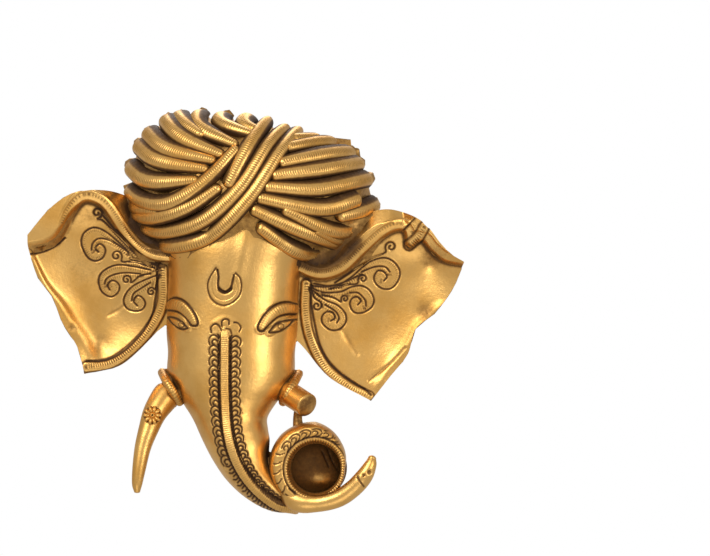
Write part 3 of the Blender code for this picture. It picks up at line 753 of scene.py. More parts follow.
RIGHT_EAR = {
    "top": [(345, 222), (379, 210), (402, 212), (425, 224), (446, 250), (464, 262)],
    "outer": [(464, 262), (453, 288), (436, 312), (416, 329), (408, 354), (390, 377), (371, 401)],
    "bottom": [(290, 334), (304, 348), (330, 378), (371, 401)],
    "root": [(345, 222), (295, 262), (288, 295), (290, 334)],
    "lie": [
        (300, 275, 40), (300, 310, 32), (303, 335, 28), (335, 320, 24), (370, 310, 20), (385, 340, 22),
        (405, 345, 27), (368, 395, 30), (330, 372, 29), (410, 290, 23), (445, 295, 30), (462, 263, 38),
        (430, 262, 24), (400, 250, 26), (360, 280, 25), (385, 225, 38), (420, 225, 40), (360, 245, 34),
        (415, 328, 27),
    ],
    "bands": [
        ([(306, 284), (305, 310), (310, 338), (325, 367), (349, 387), (369, 396)], 4.8),
        ([(424, 227), (418, 237), (409, 245)], 5),
    ],
    "step": [
        (270, 252), (295, 272), (320, 281), (345, 274), (367, 254), (388, 236), (402, 232), (405, 242),
        (411, 247), (420, 241), (430, 252), (445, 263), (475, 268),
    ],
    "step_rise": -8,
    "step_eases": (900, 999),
    "hatched_to": 165,
    "valley": [(280, 247), (293, 256), (306, 263), (320, 265), (334, 261), (345, 253), (356, 241)],
    "brink": [
        (275, 244), (293, 259), (318, 269), (335, 264), (352, 247), (372, 229), (390, 223), (410, 224),
        (440, 180),
    ],
    "lips": [([(446, 300, 4), (420, 325, 5), (408, 345, 5), (393, 364, 5), (374, 392, 4)], 1.6)],
    "dents": [
        ((428, 262), 8, -2, 0.2), ((425, 312), 10, -1.2, 0.42), ((350, 340), 7, -0.5, 0.05),
        ((432, 255), 16, 0, 0.22), ((385, 325), 9, 0, 0.14), ((355, 250), 10, 0, 0.12),
    ],
    "grooves": [
        [(311, 285), (311, 300), (314, 320), (319, 342), (326, 357), (335, 368), (346, 377), (358, 385),
         (367, 391), (371, 395)],
        [(404, 230), (408, 226), (414, 219)],
    ],
    "creases": [
        ([(405, 348), (393, 361), (380, 372), (369, 381)], 1.6, 0.8),
        ([(342, 329), (349, 341), (357, 354)], 2.4, 0.5),
    ],
    "scrolls": [
        [(340, 285), (352, 277), (362, 268), (372, 261), (385, 258), (395, 263), (400, 272), (398, 281),
         (392, 288), (384, 289), (377, 285), (374, 278), (378, 271), (384, 272), (387, 277), (384, 281)],
        [(362, 272), (375, 267), (385, 267), (390, 272)],
        [(320, 293), (340, 292), (352, 287), (362, 286), (370, 291), (374, 300), (371, 308), (362, 313),
         (354, 312), (350, 305), (352, 299), (357, 297), (361, 301), (358, 305)],
        [(350, 293), (358, 293), (365, 300), (366, 306)],
        [(312, 290), (325, 300), (337, 305), (345, 313), (346, 322), (340, 329), (331, 330), (323, 324),
         (322, 317), (327, 312), (333, 313), (335, 318), (331, 321)],
        [(325, 305), (335, 311), (339, 318), (337, 323)], [(312, 286), (326, 287), (340, 285)],
        [(314, 284), (330, 286), (345, 282), (358, 276)], [(312, 288), (318, 291), (326, 293)],
    ],
    "curls": [
        ([(335, 283), (347, 275), (360, 266), (372, 258), (385, 253)], (391, 247), 6),
        ([(330, 289), (345, 285), (357, 284)], (363, 279), 5),
        ([(322, 295), (334, 298), (341, 302)], (345, 299), 4),
        ([(312, 290), (314, 297), (317, 300)], (317, 306), 5.5),
    ],
    "hand": 1,
}
EARS = {"left_ear": LEFT_EAR, "right_ear": RIGHT_EAR}


def curl_line(stem, centre, radius, hand):
    """A stem that runs into a tightening curl."""
    start = math.atan2(stem[-1][1] - centre[1], stem[-1][0] - centre[0])
    spiral = []
    for share in np.linspace(0.08, 1, SCROLL_STEPS):
        angle = start + hand * share * SCROLL_WINDING * math.pi
        size = radius * (1 - SCROLL_TIGHTENING * share)
        spiral.append((centre[0] + size * math.cos(angle), centre[1] + size * math.sin(angle)))
    return stem + spiral


def lie_of(flat, known):
    """A smooth surface through known spots (thin plate)."""
    known = np.array(known, float)

    def kernel(a, b):
        gap = np.linalg.norm(a[:, None] - b[None], axis=2)
        return gap**2 * np.log(gap + 1e-9)

    count = len(known)
    system = np.zeros((count + 3, count + 3))
    system[:count, :count] = kernel(known[:, :2], known[:, :2]) + EAR_EASE * np.eye(count)
    system[:count, count] = system[count, :count] = 1
    system[:count, count + 1:] = known[:, :2]
    system[count + 1:, :count] = known[:, :2].T
    weights = np.linalg.solve(system, np.append(known[:, 2], [0, 0, 0]))
    plane = np.column_stack([np.ones(len(flat)), flat])
    return kernel(flat, known[:, :2]) @ weights[:count] + plane @ weights[count:]


def ear_surface(unit, ear):
    """The bare sheet between its four sides, with the step of the rolled rim and the fall behind it."""
    sides = {key: smooth_line(ear[key], SIDE_STEPS) for key in ("top", "outer", "bottom", "root")}
    steps = np.linspace(0, 1, SIDE_STEPS)
    u, v = unit[:, :1], 1 - unit[:, 1:]

    def at(key, share):
        return np.column_stack([np.interp(share[:, 0], steps, column) for column in sides[key].T])

    flat = (1 - v) * at("top", u) + v * at("bottom", u) + (1 - u) * at("root", v) + u * at("outer", v)
    flat -= (1 - u) * (1 - v) * sides["top"][0] + u * (1 - v) * sides["top"][-1]
    flat -= (1 - u) * v * sides["bottom"][0] + u * v * sides["bottom"][-1]
    out = lie_of(flat, ear["lie"]) + EAR_METAL / 2
    hand = math.copysign(1, ear["step_rise"])
    gap, side, run = beside(flat, traced(ear["step"], 2))
    slope = np.interp(run, ear["step_eases"], (STEP_RUN, LONG_STEP_RUN))
    out += np.where(side * hand > 0, abs(ear["step_rise"]) * ease(0, slope, gap), 0)
    gap, side, _ = beside(flat, traced(ear["brink"], 2))
    out -= np.where(side * hand > 0, BRINK_FALL * np.clip(gap - 1, 0, BRINK_WIDTH), 0)
    return spot(flat[:, 0], flat[:, 1], out)


def ear_relief(flat, ear):
    """Height and darkness of the ear's bands, hatching, dents and scrolls, with painted shade along the
    step and the valley.
    """
    high, dark = np.zeros(len(flat)), np.zeros(len(flat))
    for line, half in ear["bands"]:
        gap, _, run = beside(flat, traced(line), 12)
        roll = np.sqrt(np.clip(1 - (gap / half) ** 2, 0, 1))
        strokes = ticks(run, FINE_PITCH) * ease(3, 1.4, gap)
        high += 2.6 * roll**0.7 - 0.45 * strokes
        dark += 0.5 * strokes + 0.6 * bell(gap - half, 0.4, 1.3)
    hand = math.copysign(1, ear["step_rise"])
    gap, side, run = beside(flat, traced(ear["step"], 2), 16)
    raised = side * hand > 0
    steep = ease(ear["step_eases"][1], ear["step_eases"][0], run)
    strokes = ticks(run, FINE_PITCH) * bell(gap, 8.5, 1.6, 4) * raised * (run < ear["hatched_to"])
    ridge = bell(gap, 12, 1.2) * raised * steep
    high += 0.9 * ridge - 0.4 * strokes
    # The strokes are dark chasing; the band along the foot of the step is painted shade, strongest where
    # the step is steep.
    dark += 0.45 * strokes + 0.6 * bell(gap, 0, 2.4) * (1 - 0.4 * raised) * (0.25 + 0.75 * steep)
    for line, height in ear["lips"]:
        path = traced(line)
        gap, _, run = beside(flat, path[:, :2], 22)
        half = np.interp(run, np.linspace(0, length_of(path), len(path)), path[:, 2])
        ends = ease(0, 14, run) * ease(length_of(path), length_of(path) - 14, run)
        high += height * bell(gap, 0, half, 2.2) * ends
    for centre, size, depth, dull in ear["dents"]:
        pit = bell(np.hypot(*(flat - centre).T), 0, size)
        high += depth * pit
        dark += dull * pit
    grooves = cut(flat, [traced(line) for line in ear["grooves"]], 1.1)
    lines = [traced(line) for line in ear["scrolls"]]
    lines += [traced(curl_line(*curl, ear["hand"])) for curl in ear["curls"]]
    scrolls = cut(flat, lines, 1.0)
    high -= 1.2 * grooves + 1.1 * scrolls
    dark += 0.85 * grooves + 0.95 * scrolls
    # Painted shade along the valley where the ear meets the turban.
    dark += VALLEY_SHADE * cut(flat, [traced(ear["valley"])], VALLEY_HALF)
    for line, half, depth in ear["creases"]:
        crease = cut(flat, [traced(line)], half)
        high -= depth * crease
        dark += 0.5 * depth * crease
    for line in lines[:len(ear["scrolls"])]:
        gap, side, run = beside(flat, line, 8)
        strokes = ticks(run, FINE_PITCH) * bell(gap, 3, 1.4, 4) * (side * ear["hand"] > 0)
        high -= 0.3 * strokes
        dark += 0.4 * strokes
    return high, dark


# Painted shade along the valleys where the ears meet the turban, on the casting as on the ears.
shaded_valleys = cut(layout(points_of(body)), [traced(ear["valley"]) for ear in EARS.values()], VALLEY_HALF)
set_patina_and_shade(body, body_dark + VALLEY_SHADE * shaded_valleys)

for name, ear in EARS.items():
    mesh = bent_grid(name, EAR_CELLS, lambda unit, ear=ear: ear_surface(unit, ear))
    face_front(mesh, points_of(mesh).mean(axis=0) + np.array([0, 0.05, 0]))
    high, dark = ear_relief(layout(points_of(mesh)), ear)
    dark = dark + EAR_SHADE * closed_in(mesh)
    raise_relief(mesh, high)
    with editing(mesh) as shape:
        rim = bmesh.ops.extrude_edge_only(shape, edges=[e for e in shape.edges if e.is_boundary])
        turned = [v for v in rim["geom"] if isinstance(v, bmesh.types.BMVert)]
        bmesh.ops.translate(shape, vec=(0, EAR_METAL * SQUARE * EAR_TURNED_BACK, 0), verts=turned)
        for vert in turned:
            vert.co.y = min(vert.co.y, -OFF_WALL)
    edge_dark = np.full(len(mesh.vertices) - len(dark), EAR_EDGE_PATINA)
    finish_piece(name, mesh, np.append(dark, edge_dark), EAR_SHARP)

# Turban
# Tight rolls of cloth, cast with the head, cross over the brow.
# Each roll carries a row of short chisel strokes along its crest, and its flanks darken into the gaps
# between rolls with patina and painted shade.

TURBAN_MIDDLE = (250, 200)
TURBAN_OUTLINE = [
    (131, 190), (134, 160), (143, 141), (160, 123), (185, 116), (218, 119), (250, 121), (285, 131),
    (315, 139), (345, 150), (358, 165), (368, 185), (372, 205), (352, 230), (325, 250), (290, 262),
    (240, 262), (190, 255), (155, 238), (137, 215),
]
WRAP_DEPTH = 94
TURBAN_POWER = 2.6
FOLD_RADIUS = 7.8
FOLD_SINK = 4
LEFT_FOLDS = [
    [(163, 114), (184, 138), (226, 158)],
    [(148, 131), (171, 150), (219, 163)],
    [(138, 143), (162, 161), (212, 171)],
    [(129, 164), (153, 181), (203, 181)],
    [(127, 183), (137, 205), (165, 209)],
    [(204, 107), (201, 128), (240, 149)],
    [(231, 111), (222, 124), (256, 139)],
    [(253, 116), (245, 126), (262, 136)],
    [(176, 110), (186, 124), (206, 139)],
]
RIGHT_FOLDS = [
    [(288, 141), (316, 140)],
    [(283, 150), (320, 143), (351, 143)],
    [(277, 165), (325, 155), (360, 151)],
    [(270, 177), (320, 170), (360, 162)],
    [(263, 187), (315, 189), (370, 177)],
    [(256, 197), (318, 208), (357, 198)],
    [(335, 216), (360, 209), (379, 200)],
    [(282, 208), (336, 230), (374, 213)],
    [(251, 207), (295, 227), (341, 243)],
    [(258, 224), (298, 250), (341, 251)],
    [(312, 226), (342, 238), (370, 222)],
]
LEFT_WIDTHS = (10.5, 9.8, 6)
RIGHT_WIDTHS = (7.6, 9.3, 9.6)
SASH_WIDTHS = (7.5, 9.4, 8.6)
RIDGE_ASIDE = 0.2
SASH_LIFT = 3.5
SASHES = [
    [(238, 150), (208, 181), (174, 202), (147, 201), (129, 188)],
    [(222, 187), (192, 206), (160, 216), (142, 214), (128, 204)],
    [(267, 121), (247, 151), (228, 188)],
    [(288, 125), (268, 146), (240, 189), (206, 219), (171, 230), (147, 226), (131, 214)],
    [(295, 132), (277, 156), (250, 197), (214, 233), (182, 244), (156, 241), (138, 229)],
]
FOLD_COLUMNS = 18
FOLD_ROW = 0.52
FOLD_NOSE = 6
FOLD_SPAN = (-20, 200)
FOLD_AXIS_OUT = 6
TRACK_STEPS = 400
STROKE_PITCH = 2.3
STROKE_DEPTH = 0.6
CROWD_SHADE = 0.75


def wrap_out(across, down):
    """Where the folds of the turban lie in front of the wall."""
    edge = np.array(TURBAN_OUTLINE, float) - TURBAN_MIDDLE
    turn = np.arctan2(edge[:, 1], edge[:, 0])
    order = np.argsort(turn)
    size = np.hypot(edge[:, 0], edge[:, 1])[order]
    aside, below = across - TURBAN_MIDDLE[0], down - TURBAN_MIDDLE[1]
    limit = np.interp(np.arctan2(below, aside), turn[order], size, period=2 * math.pi)
    left = np.clip(1 - (np.hypot(aside, below) / limit) ** TURBAN_POWER, 0, 1)
    return WRAP_DEPTH * left ** (1 / TURBAN_POWER)


def head_out(across, down):
    """Where the face lies in front of the wall, and nothing beyond its sides or above it."""
    table = np.array(HEAD_STATIONS[:HOLLOW_STATIONS], float)
    middle, half, front, widest, full = (np.interp(down, table[:, 1], table[:, i]) for i in (0, 2, 3, 4, 7))
    share = np.clip(np.abs(across - middle) / half, 0, 1)
    out = widest + (front - widest) * (1 - share**full) ** (1 / full)
    return np.where((share < 1) & (down > table[0, 1]), out, 0)


def eased(values, window):
    """A running mean that keeps the length and the ends."""
    reach = window // 2
    before = 2 * values[0] - values[reach:0:-1]
    after = 2 * values[-1] - values[-2:-reach - 2:-1]
    return np.convolve(np.concatenate([before, values, after]), np.ones(window) / window, mode="valid")


def rolled(centre, width, height, angle, skew):
    """A roll with a ridge along a line: its places for each row and column."""
    way = unit_rows(np.gradient(centre, axis=0))
    side = unit_rows(np.cross(way, centre - spot(*np.array([TURBAN_MIDDLE + (FOLD_AXIS_OUT,)]).T)))
    up = np.cross(side, way)
    lift = np.sin(angle)
    lift = np.where(lift > 0, lift * (1 + 0.16 * lift**3), lift)
    sway = np.cos(angle) + skew * np.maximum(lift, 0)
    aside = (width * SQUARE)[:, None, None] * sway[None, :, None] * side[:, None]
    raised = (height * SQUARE)[:, None, None] * lift[None, :, None] * up[:, None]
    return centre[:, None] + aside + raised


def sheet(places, dark, closed=False):
    """Rows and columns of places as a bent grid, with its darkness."""
    rows, columns = dark.shape
    shape = bmesh.new()
    bmesh.ops.create_grid(shape, x_segments=columns - 1, y_segments=rows - 1, size=0.5)
    layer = shape.verts.layers.float.new("patina_and_shade")
    for vert in shape.verts:
        at = round((vert.co.y + 0.5) * (rows - 1)), round((vert.co.x + 0.5) * (columns - 1))
        vert[layer] = dark[at]
        vert.co = places[at]
    if closed:
        bmesh.ops.remove_doubles(shape, verts=shape.verts, dist=WELD)
        bmesh.ops.holes_fill(shape, edges=[e for e in shape.edges if e.is_boundary])
        bmesh.ops.recalc_face_normals(shape, faces=shape.faces)
    shape.normal_update()
    mesh = bpy.data.meshes.new("sheet")
    shape.to_mesh(mesh)
    shape.free()
    return mesh


def patina_and_shade_of(mesh):
    dark = np.empty(len(mesh.vertices), np.float32)
    mesh.attributes["patina_and_shade"].data.foreach_get("value", dark)
    return dark.astype(float)


def fold(line, lift, widths, skew):
    """One roll of cloth as a bent grid, from the wall over the dome or from under its neighbours."""
    flat = smooth_line(line, TRACK_STEPS)
    share = np.linspace(0, 1, TRACK_STEPS)
    under = np.maximum(wrap_out(flat[:, 0], flat[:, 1]), head_out(flat[:, 0], flat[:, 1]))
    out = under + lift * np.sin(share * math.pi) ** 0.5 - FOLD_SINK
    track = np.column_stack([flat, eased(out, 17), share])[out > 0.5]
    for _ in range(2):
        run = np.append(0, np.cumsum(np.linalg.norm(np.diff(track[:, :3], axis=0), axis=1)))
        at = np.linspace(0, run[-1], int(run[-1] / FOLD_ROW))
        track = np.column_stack([eased(np.interp(at, run, column), 11) for column in track.T])
    closed = np.ones(len(at))
    for gap, end in ((at, 0), (at[-1] - at, -1)):
        if track[end, 2] > FOLD_NOSE:
            closed *= np.sqrt(np.clip(1 - (1 - np.clip(gap / FOLD_NOSE, 0, 1)) ** 2, 0.004, 1))
        else:
            closed[end] = 0.02
    width = np.interp(track[:, 3], (0, 0.5, 1), widths)
    angle = np.linspace(*FOLD_SPAN, FOLD_COLUMNS)[None, :]
    places = rolled(spot(*track.T[:3]), width * closed, FOLD_RADIUS * closed, np.radians(angle[0]), skew)
    run = at[:, None]
    crest = bell(angle, 90, 20, 4) * ease(3, 7, run) * ease(3, 7, run[::-1])
    strokes = ticks(run, STROKE_PITCH) * crest
    up = unit_rows(places - places.mean(axis=1, keepdims=True), axis=2)
    places = places - up * (strokes * STROKE_DEPTH * SQUARE)[:, :, None]
    places[:, :, 1] = np.minimum(places[:, :, 1], -OFF_WALL)
    # Dark chisel strokes on the crest, and painted shade with patina down the flanks towards the gaps.
    mesh = sheet(places, 0.5 * strokes + ease(27, 52, np.abs(angle - 90)) * 0.9)
    face_front(mesh, points_of(mesh).mean(axis=0) + np.array([0, 0.004, 0]))
    return mesh, patina_and_shade_of(mesh)


def joined(name, parts):
    """Several meshes with their darkness as one piece."""
    whole = bmesh.new()
    for mesh, _ in parts:
        whole.from_mesh(mesh)
    mesh = bpy.data.meshes.new(name)
    whole.to_mesh(mesh)
    whole.free()
    finish_piece(name, mesh, np.concatenate([dark for _, dark in parts]) + CROWD_SHADE * closed_in(mesh))


joined("left_folds", [fold(line, 0, LEFT_WIDTHS, RIDGE_ASIDE) for line in LEFT_FOLDS])
joined("right_folds", [fold(line, 0, RIGHT_WIDTHS, RIDGE_ASIDE) for line in RIGHT_FOLDS])
joined("sashes", [fold(line, SASH_LIFT, SASH_WIDTHS, -RIDGE_ASIDE) for line in SASHES])

# Curl of the trunk
# The trunk's end is bent forward into a cup with a hatched rim and a row of waves round it.
# Its tip crosses in front and points up and out, with two nostrils.

MOUTH = (316, 467)
MOUTH_RADIUS = 24.5
CURL_OUTER = [29, 36, 46, 48, 47, 43, 36, 30]
CURL_MIDDLE_OUT = 72
CURL_HALF_DEPTH = 33
CURL_FULLNESS = 3
CURL_TURNS = 380
CURL_COLUMNS = 120
RIM_STROKES = 68
CUP_RIM = 28
RIM_GROOVE = 31.6
CURL_WAVES = [46, 64, 82, 100, 118, 136]
CURL_WAVES_OUT = 32
CURL_WAVE_SCALE = (0.75, 1.55)
CURL_TICK = [(34.5, -5), (38, 0), (42, 1)]
CURL_TICKS = [158, 172, 186, 200, 214]
CURL_MARKS = [[(303, 496), (308, 498)], [(290, 486), (296, 490)], [(286, 492), (292, 496)]]
CUP_FLOOR = (311, 466, 52)
CUP_FLOOR_SIZE = (35, 34, 13)
CUP_REACH = 31
CUP_WITHIN = 27
CUP_SHADE_OUT = (98, 70)
CUP_CELLS = (120, 40)
CUP_FLOOR_LIFT = 2
CUP_BUMP = (324, 480)
CUP_HIGHLIGHT = (322, 478)
CUP_SCRATCHES = [[(327, 447), (333, 462), (343, 476)], [(322, 450), (329, 466)]]
BEHIND_CUP = (0.035, 0.05, -0.16)
TRUNK_TIP = [
    (270, 477, 76, 6), (284, 486, 88, 9), (298, 499, 96, 10.5), (318, 501, 101, 8.5),
    (338, 496, 105, 8.8), (353, 486, 108, 8.8), (364, 474, 110, 8.4), (370, 463, 110, 6.3),
    (372, 456, 109, 4),
]
TIP_CREASE = [(357, 474), (360, 479), (364, 484)]
NOSTRILS = [((363.5, 472.5), 1.7), ((369.5, 469.5), 2.4)]
END_ROWS = 7


def curl_surface(unit):
    turn = unit[:, 0] * 2 * math.pi
    angle = unit[:, 1] * 2 * math.pi
    corners = np.arange(len(CURL_OUTER)) * 2 * math.pi / len(CURL_OUTER)
    far = np.interp(turn, corners, CURL_OUTER, period=2 * math.pi)
    middle, half = (MOUTH_RADIUS + far) / 2, (far - MOUTH_RADIUS) / 2
    away = middle + half * signed_power(np.cos(angle), 2 / CURL_FULLNESS)
    out = CURL_MIDDLE_OUT + CURL_HALF_DEPTH * signed_power(np.sin(angle), 2 / CURL_FULLNESS)
    return spot(MOUTH[0] + away * np.cos(turn), MOUTH[1] - away * np.sin(turn), out)


def curl_relief(flat, facing):
    """Height and darkness of the hatched rim of the cup and the waves round it."""
    aside, up = flat[:, 0] - MOUTH[0], MOUTH[1] - flat[:, 1]
    far, turn = np.hypot(aside, up), np.arctan2(up, aside)
    strokes = ticks(turn, 2 * math.pi / RIM_STROKES) * bell(far, CUP_RIM, 2.2, 4)
    groove = bell(far, RIM_GROOVE, 0.9)
    high = 1.2 * bell(far, CUP_RIM, 2.6, 4) - 0.6 * strokes - 1.2 * groove
    dark = 0.5 * strokes + 0.9 * groove
    from_rib = WAVE_STROKES[0][0][0]
    chased = [[(CURL_WAVES_OUT + (a - from_rib) * CURL_WAVE_SCALE[0], angle + b * CURL_WAVE_SCALE[1])
               for a, b in stroke] for angle in CURL_WAVES for stroke in WAVE_STROKES[:2]]
    chased += [[(r, angle + t) for r, t in CURL_TICK] for angle in CURL_TICKS]
    lines = [traced([(MOUTH[0] + r * math.cos(math.radians(t)), MOUTH[1] - r * math.sin(math.radians(t)))
                     for r, t in line], 1) for line in chased]
    deep = cut(flat, lines + [traced(line) for line in CURL_MARKS], 0.8)
    return (high - 0.95 * deep) * facing, (dark + 0.85 * deep) * facing


curl = bent_grid("trunk_curl", (CURL_TURNS, CURL_COLUMNS), curl_surface, weld=True)
with editing(curl) as shape:
    bmesh.ops.recalc_face_normals(shape, faces=shape.faces)
flat = layout(points_of(curl))
high, dark = curl_relief(flat, ease(-0.05, -0.4, points_of(curl, "normal")[:, 1]))
# Painted shade in the hollows of the curl, with patina.
dark = dark + closed_in(curl)
raise_relief(curl, high)
# Painted shade inside the cup, deeper towards its floor.
within = np.hypot(*(flat - MOUTH).T) < CUP_WITHIN
cup_shade = ease(*CUP_SHADE_OUT, -points_of(curl)[:, 1] / SQUARE) * within
finish_piece("trunk_curl", curl, dark + 0.6 * cup_shade)


def floor_surface(unit):
    turn, far = unit[:, 0] * 2 * math.pi, unit[:, 1] * CUP_REACH
    across, down = MOUTH[0] + far * np.cos(turn), MOUTH[1] - far * np.sin(turn)
    aside, below = (across - CUP_FLOOR[0]) / CUP_FLOOR_SIZE[0], (down - CUP_FLOOR[1]) / CUP_FLOOR_SIZE[1]
    bump = 3.5 * np.exp(-((across - CUP_BUMP[0]) / 13) ** 2 - ((down - CUP_BUMP[1]) / 6) ** 2)
    out = CUP_FLOOR[2] + CUP_FLOOR_SIZE[2] * np.sqrt(np.clip(1 - aside**2 - below**2, 0, 1)) + bump
    return spot(across, down, out + CUP_FLOOR_LIFT)


cup = bent_grid("cup_floor", CUP_CELLS, floor_surface, weld=True)
face_front(cup, BEHIND_CUP)
flat = layout(points_of(cup))
scratches = cut(flat, [traced(line) for line in CUP_SCRATCHES], 0.8)
raise_relief(cup, -0.8 * scratches)
# The cup's floor is dark with patina and painted shade, lighter in a painted highlight on its bump, with
# dark scratches.
painted_highlight = np.exp(-((flat[:, 0] - CUP_HIGHLIGHT[0]) / 12) ** 2 - ((flat[:, 1] - CUP_HIGHLIGHT[1]) / 6) ** 2)
finish_piece("cup_floor", cup, 0.62 - 0.34 * painted_highlight + 0.3 * scratches)


def bar(line, ends, columns=44, row=0.8, pitch=0):
    """A round bar along spots with a radius, its ends rounded, with rings of strokes at the pitch."""
    path = smooth_line(line, max(8, int(length_of(line) / row)))
    centre = spot(*path.T[:3])
    way = unit_rows(np.gradient(centre, axis=0))
    radius = path[:, 3] * SQUARE
    run = np.linspace(0, length_of(path), len(path))
    tilt = np.linspace(math.pi / 2, 0.1, END_ROWS)
    for end, where in zip(ends, (0, -1)):
        order = slice(None, None, 1 if where == 0 else -1)
        push = np.sin(tilt) * radius[where] * end * (-1 if where == 0 else 1)
        extra = (centre[where] + push[:, None] * way[where],
                 np.repeat(way[where][None], END_ROWS, axis=0),
                 radius[where] * np.cos(tilt), np.full(END_ROWS, run[where]))
        centre, way, radius, run = [
            np.concatenate([cap[order], kept] if where == 0 else [kept, cap[order]])
            for cap, kept in zip(extra, (centre, way, radius, run))]
    side = unit_rows(np.cross(way, TO_WALL))
    front = np.cross(way, side)
    angle = np.linspace(0, 2 * math.pi, columns + 1)[None, :, None]
    strokes = ticks(run, pitch) if pitch else np.zeros(len(run))
    size = (radius - 0.4 * SQUARE * strokes)[:, None, None]
    places = centre[:, None] + size * (np.cos(angle) * side[:, None] + np.sin(angle) * front[:, None])
    places[:, :, 1] = np.minimum(places[:, :, 1], -OFF_WALL)
    return sheet(places, np.repeat(0.3 * strokes[:, None], columns + 1, axis=1), closed=True)


tip = bar(TRUNK_TIP, ends=(0, 0.7), columns=96, row=0.45)
flat = layout(points_of(tip))
facing = ease(-0.1, -0.5, points_of(tip, "normal")[:, 1])
crease = cut(flat, [traced(TIP_CREASE)], 1.1)
nostrils = np.max([bell(np.hypot(*(flat - centre).T), 0, size, 4) for centre, size in NOSTRILS], axis=0)
raise_relief(tip, -(crease + 1.7 * nostrils) * facing)
joined("trunk_tip", [(tip, (0.7 * crease + 0.6 * nostrils) * facing)])

# Tusks
# The left tusk is whole, with a rosette at its root, and the right one is a broken stub tied to the curl.
# A hatched collar binds the root of each.

WHOLE_TUSK = [
    (169, 394, 56, 4), (168, 395, 57, 13.5), (165, 398, 60, 14), (156, 412, 69, 12), (150, 428, 76, 10),
    (144.5, 446, 81, 8.2), (141, 466, 85, 6.8), (139, 482, 87, 5.2), (139, 490, 87, 3),
]
BROKEN_TUSK = [(285, 390, 58, 4), (288, 392, 62, 11), (291, 394, 66, 12), (307, 404, 84, 12)]
CURL_LINK = [(302, 400, 66, 6), (298, 416, 62, 4.5), (299, 430, 64, 6)]
COLLARS = [
    [(162, 372, 38, 4.5), (167, 380, 66, 4.5), (174, 391, 74, 4.5), (181, 402, 62, 4.5)],
    [(299, 373, 42, 4.5), (294, 383, 68, 4.5), (288, 393, 76, 4.5), (283, 402, 62, 4.5)],
]
ROSETTE = (154, 414, 85)
ROSETTE_LEAN = 0.28
PETALS = 10
PETAL_REACH = 9.6
STUB_EDGE = [(296, 410), (316, 388)]
STUB_FACES = (0.60, -0.70, -0.39)
LINK_DARKNESS = 0.45
COLLAR_PITCH = 2.2

whole = bar(WHOLE_TUSK, ends=(0, 0.4))
stub = bar(BROKEN_TUSK, ends=(0, 0.3))
link = bar(CURL_LINK, ends=(0, 0))
collars = [bar(line, ends=(0.5, 0.5), pitch=COLLAR_PITCH, row=0.5) for line in COLLARS]
turn = np.linspace(0, 2 * math.pi, 161)[None]
far = np.linspace(0.02, 1, 40)[:, None] * PETAL_REACH * (0.88 + 0.12 * np.abs(np.cos(turn * PETALS / 2)))
share = far / PETAL_REACH
aside = far * (np.mod(turn * PETALS / (2 * math.pi) + 0.5, 1) - 0.5) * 2 * math.pi / PETALS
bump = np.clip(1 - ((far - 6) / 4) ** 2 - (aside / 2.3) ** 2, 0, 1)
heart = np.clip(1 - (far / 2.7) ** 2, 0, 1)
out = ROSETTE[2] - 2 + 3.6 * np.maximum(bump, heart) ** 0.5 - 2.4 * bell(far, 0, 1.0)
out = out - 5 * ease(0.95, 1, share) - ROSETTE_LEAN * far * np.sin(turn)
across, down = ROSETTE[0] + far * np.cos(turn), ROSETTE[1] - far * np.sin(turn)
places = spot(across.ravel(), down.ravel(), out.ravel())
dark = 0.6 * ease(0.25, 0, np.maximum(bump, heart)) + 0.8 * bell(far, 0, 1.2)
rosette = sheet(places.reshape(far.shape + (3,)), dark, closed=True)
face_front(rosette, places.mean(axis=0) + np.array([0, 0.02, 0]))
# The stub is darker where its faces turn down, right and forward: the dull broken end, and painted shade on
# the side away from the light.
cut_end = ease(0.75, 0.35, beside(layout(points_of(stub)), np.array(STUB_EDGE), 30)[0] / 12)
facing_out = ease(0.5, 0.9, points_of(stub, "normal") @ np.array(STUB_FACES))
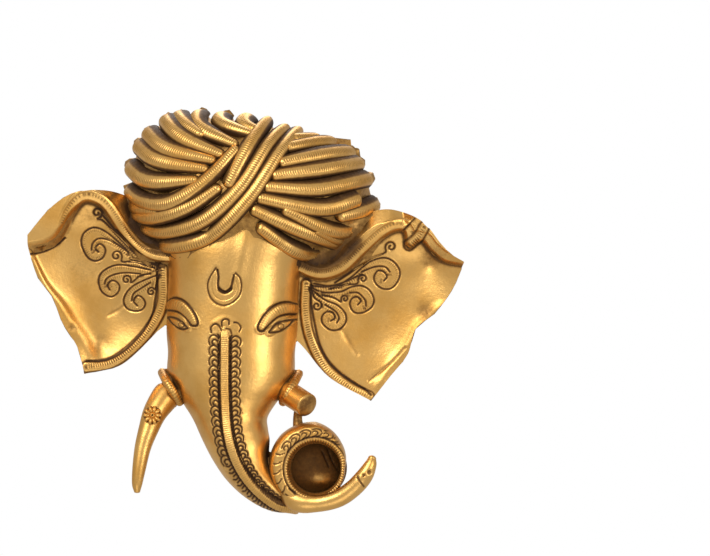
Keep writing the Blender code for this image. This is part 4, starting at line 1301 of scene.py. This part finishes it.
# The web from the stub to the curl is dark all over.
parts = [(whole, patina_and_shade_of(whole)), (stub, 0.28 * facing_out + 0.2 * cut_end * facing_out),
         (link, np.full(len(link.vertices), LINK_DARKNESS))]
joined("tusks", parts + [(mesh, patina_and_shade_of(mesh)) for mesh in collars + [rosette]])

# Stage
# The mask hangs alone before a plain white ground, in soft light from the upper left.

VIEW_DISTANCE = 3.0
IMAGE_MIDDLE = (355, 278)
IMAGE_WIDTH = 710
OUTLINE_OUT = 36
LIGHTS = [
    ((-0.55, -1.0, 0.75), 0.75, 9.5, (1, 0.98, 0.94)),
    ((0.85, -0.9, 0.15), 0.55, 3.6, (1, 0.98, 0.95)),
    ((0.0, -1.1, -0.9), 0.8, 1.6, (1, 0.97, 0.92)),
    ((0.0, 0.9, 0.8), 0.8, 4, (1, 1, 1)),
]
AIM = (0, -0.02, -0.08)
SKY_LIGHT = (0.53, 0.52, 0.505, 1)
GROUND_WHITE = (1, 1, 1, 1)
SENSOR = 36

world = bpy.data.worlds.new("studio")
bpy.context.scene.world = world
world.use_nodes = True
sky = world.node_tree
ground = sky.nodes["Background"]
ground.inputs["Strength"].default_value = 1.0
seen = add(sky, "ShaderNodeLightPath").outputs["Is Camera Ray"]
sky.links.new(blend_colours(sky, seen, SKY_LIGHT, GROUND_WHITE), ground.inputs["Color"])
for number, (place, size, power, colour) in enumerate(LIGHTS):
    light = bpy.data.lights.new("softbox_%d" % number, "AREA")
    light.shape, light.size, light.energy, light.color = "DISK", size, power, colour
    lamp = bpy.data.objects.new(light.name, light)
    lamp.location = place
    lamp.rotation_euler = (Vector(AIM) - Vector(place)).to_track_quat("-Z", "Y").to_euler()
    bpy.context.scene.collection.objects.link(lamp)
view = bpy.data.cameras.new("view")
view.sensor_width = SENSOR
view.lens = SENSOR * (VIEW_DISTANCE - OUTLINE_OUT * SQUARE) / (IMAGE_WIDTH * SQUARE)
view.clip_end = 30
eye = bpy.data.objects.new("view", view)
middle = spot(*np.array([IMAGE_MIDDLE + (0,)]).T)[0]
eye.location = (middle[0], -VIEW_DISTANCE, middle[2])
eye.rotation_euler = (math.pi / 2, 0, 0)
bpy.context.scene.collection.objects.link(eye)
bpy.context.scene.camera = eye
bpy.context.scene.view_settings.view_transform = "Standard"
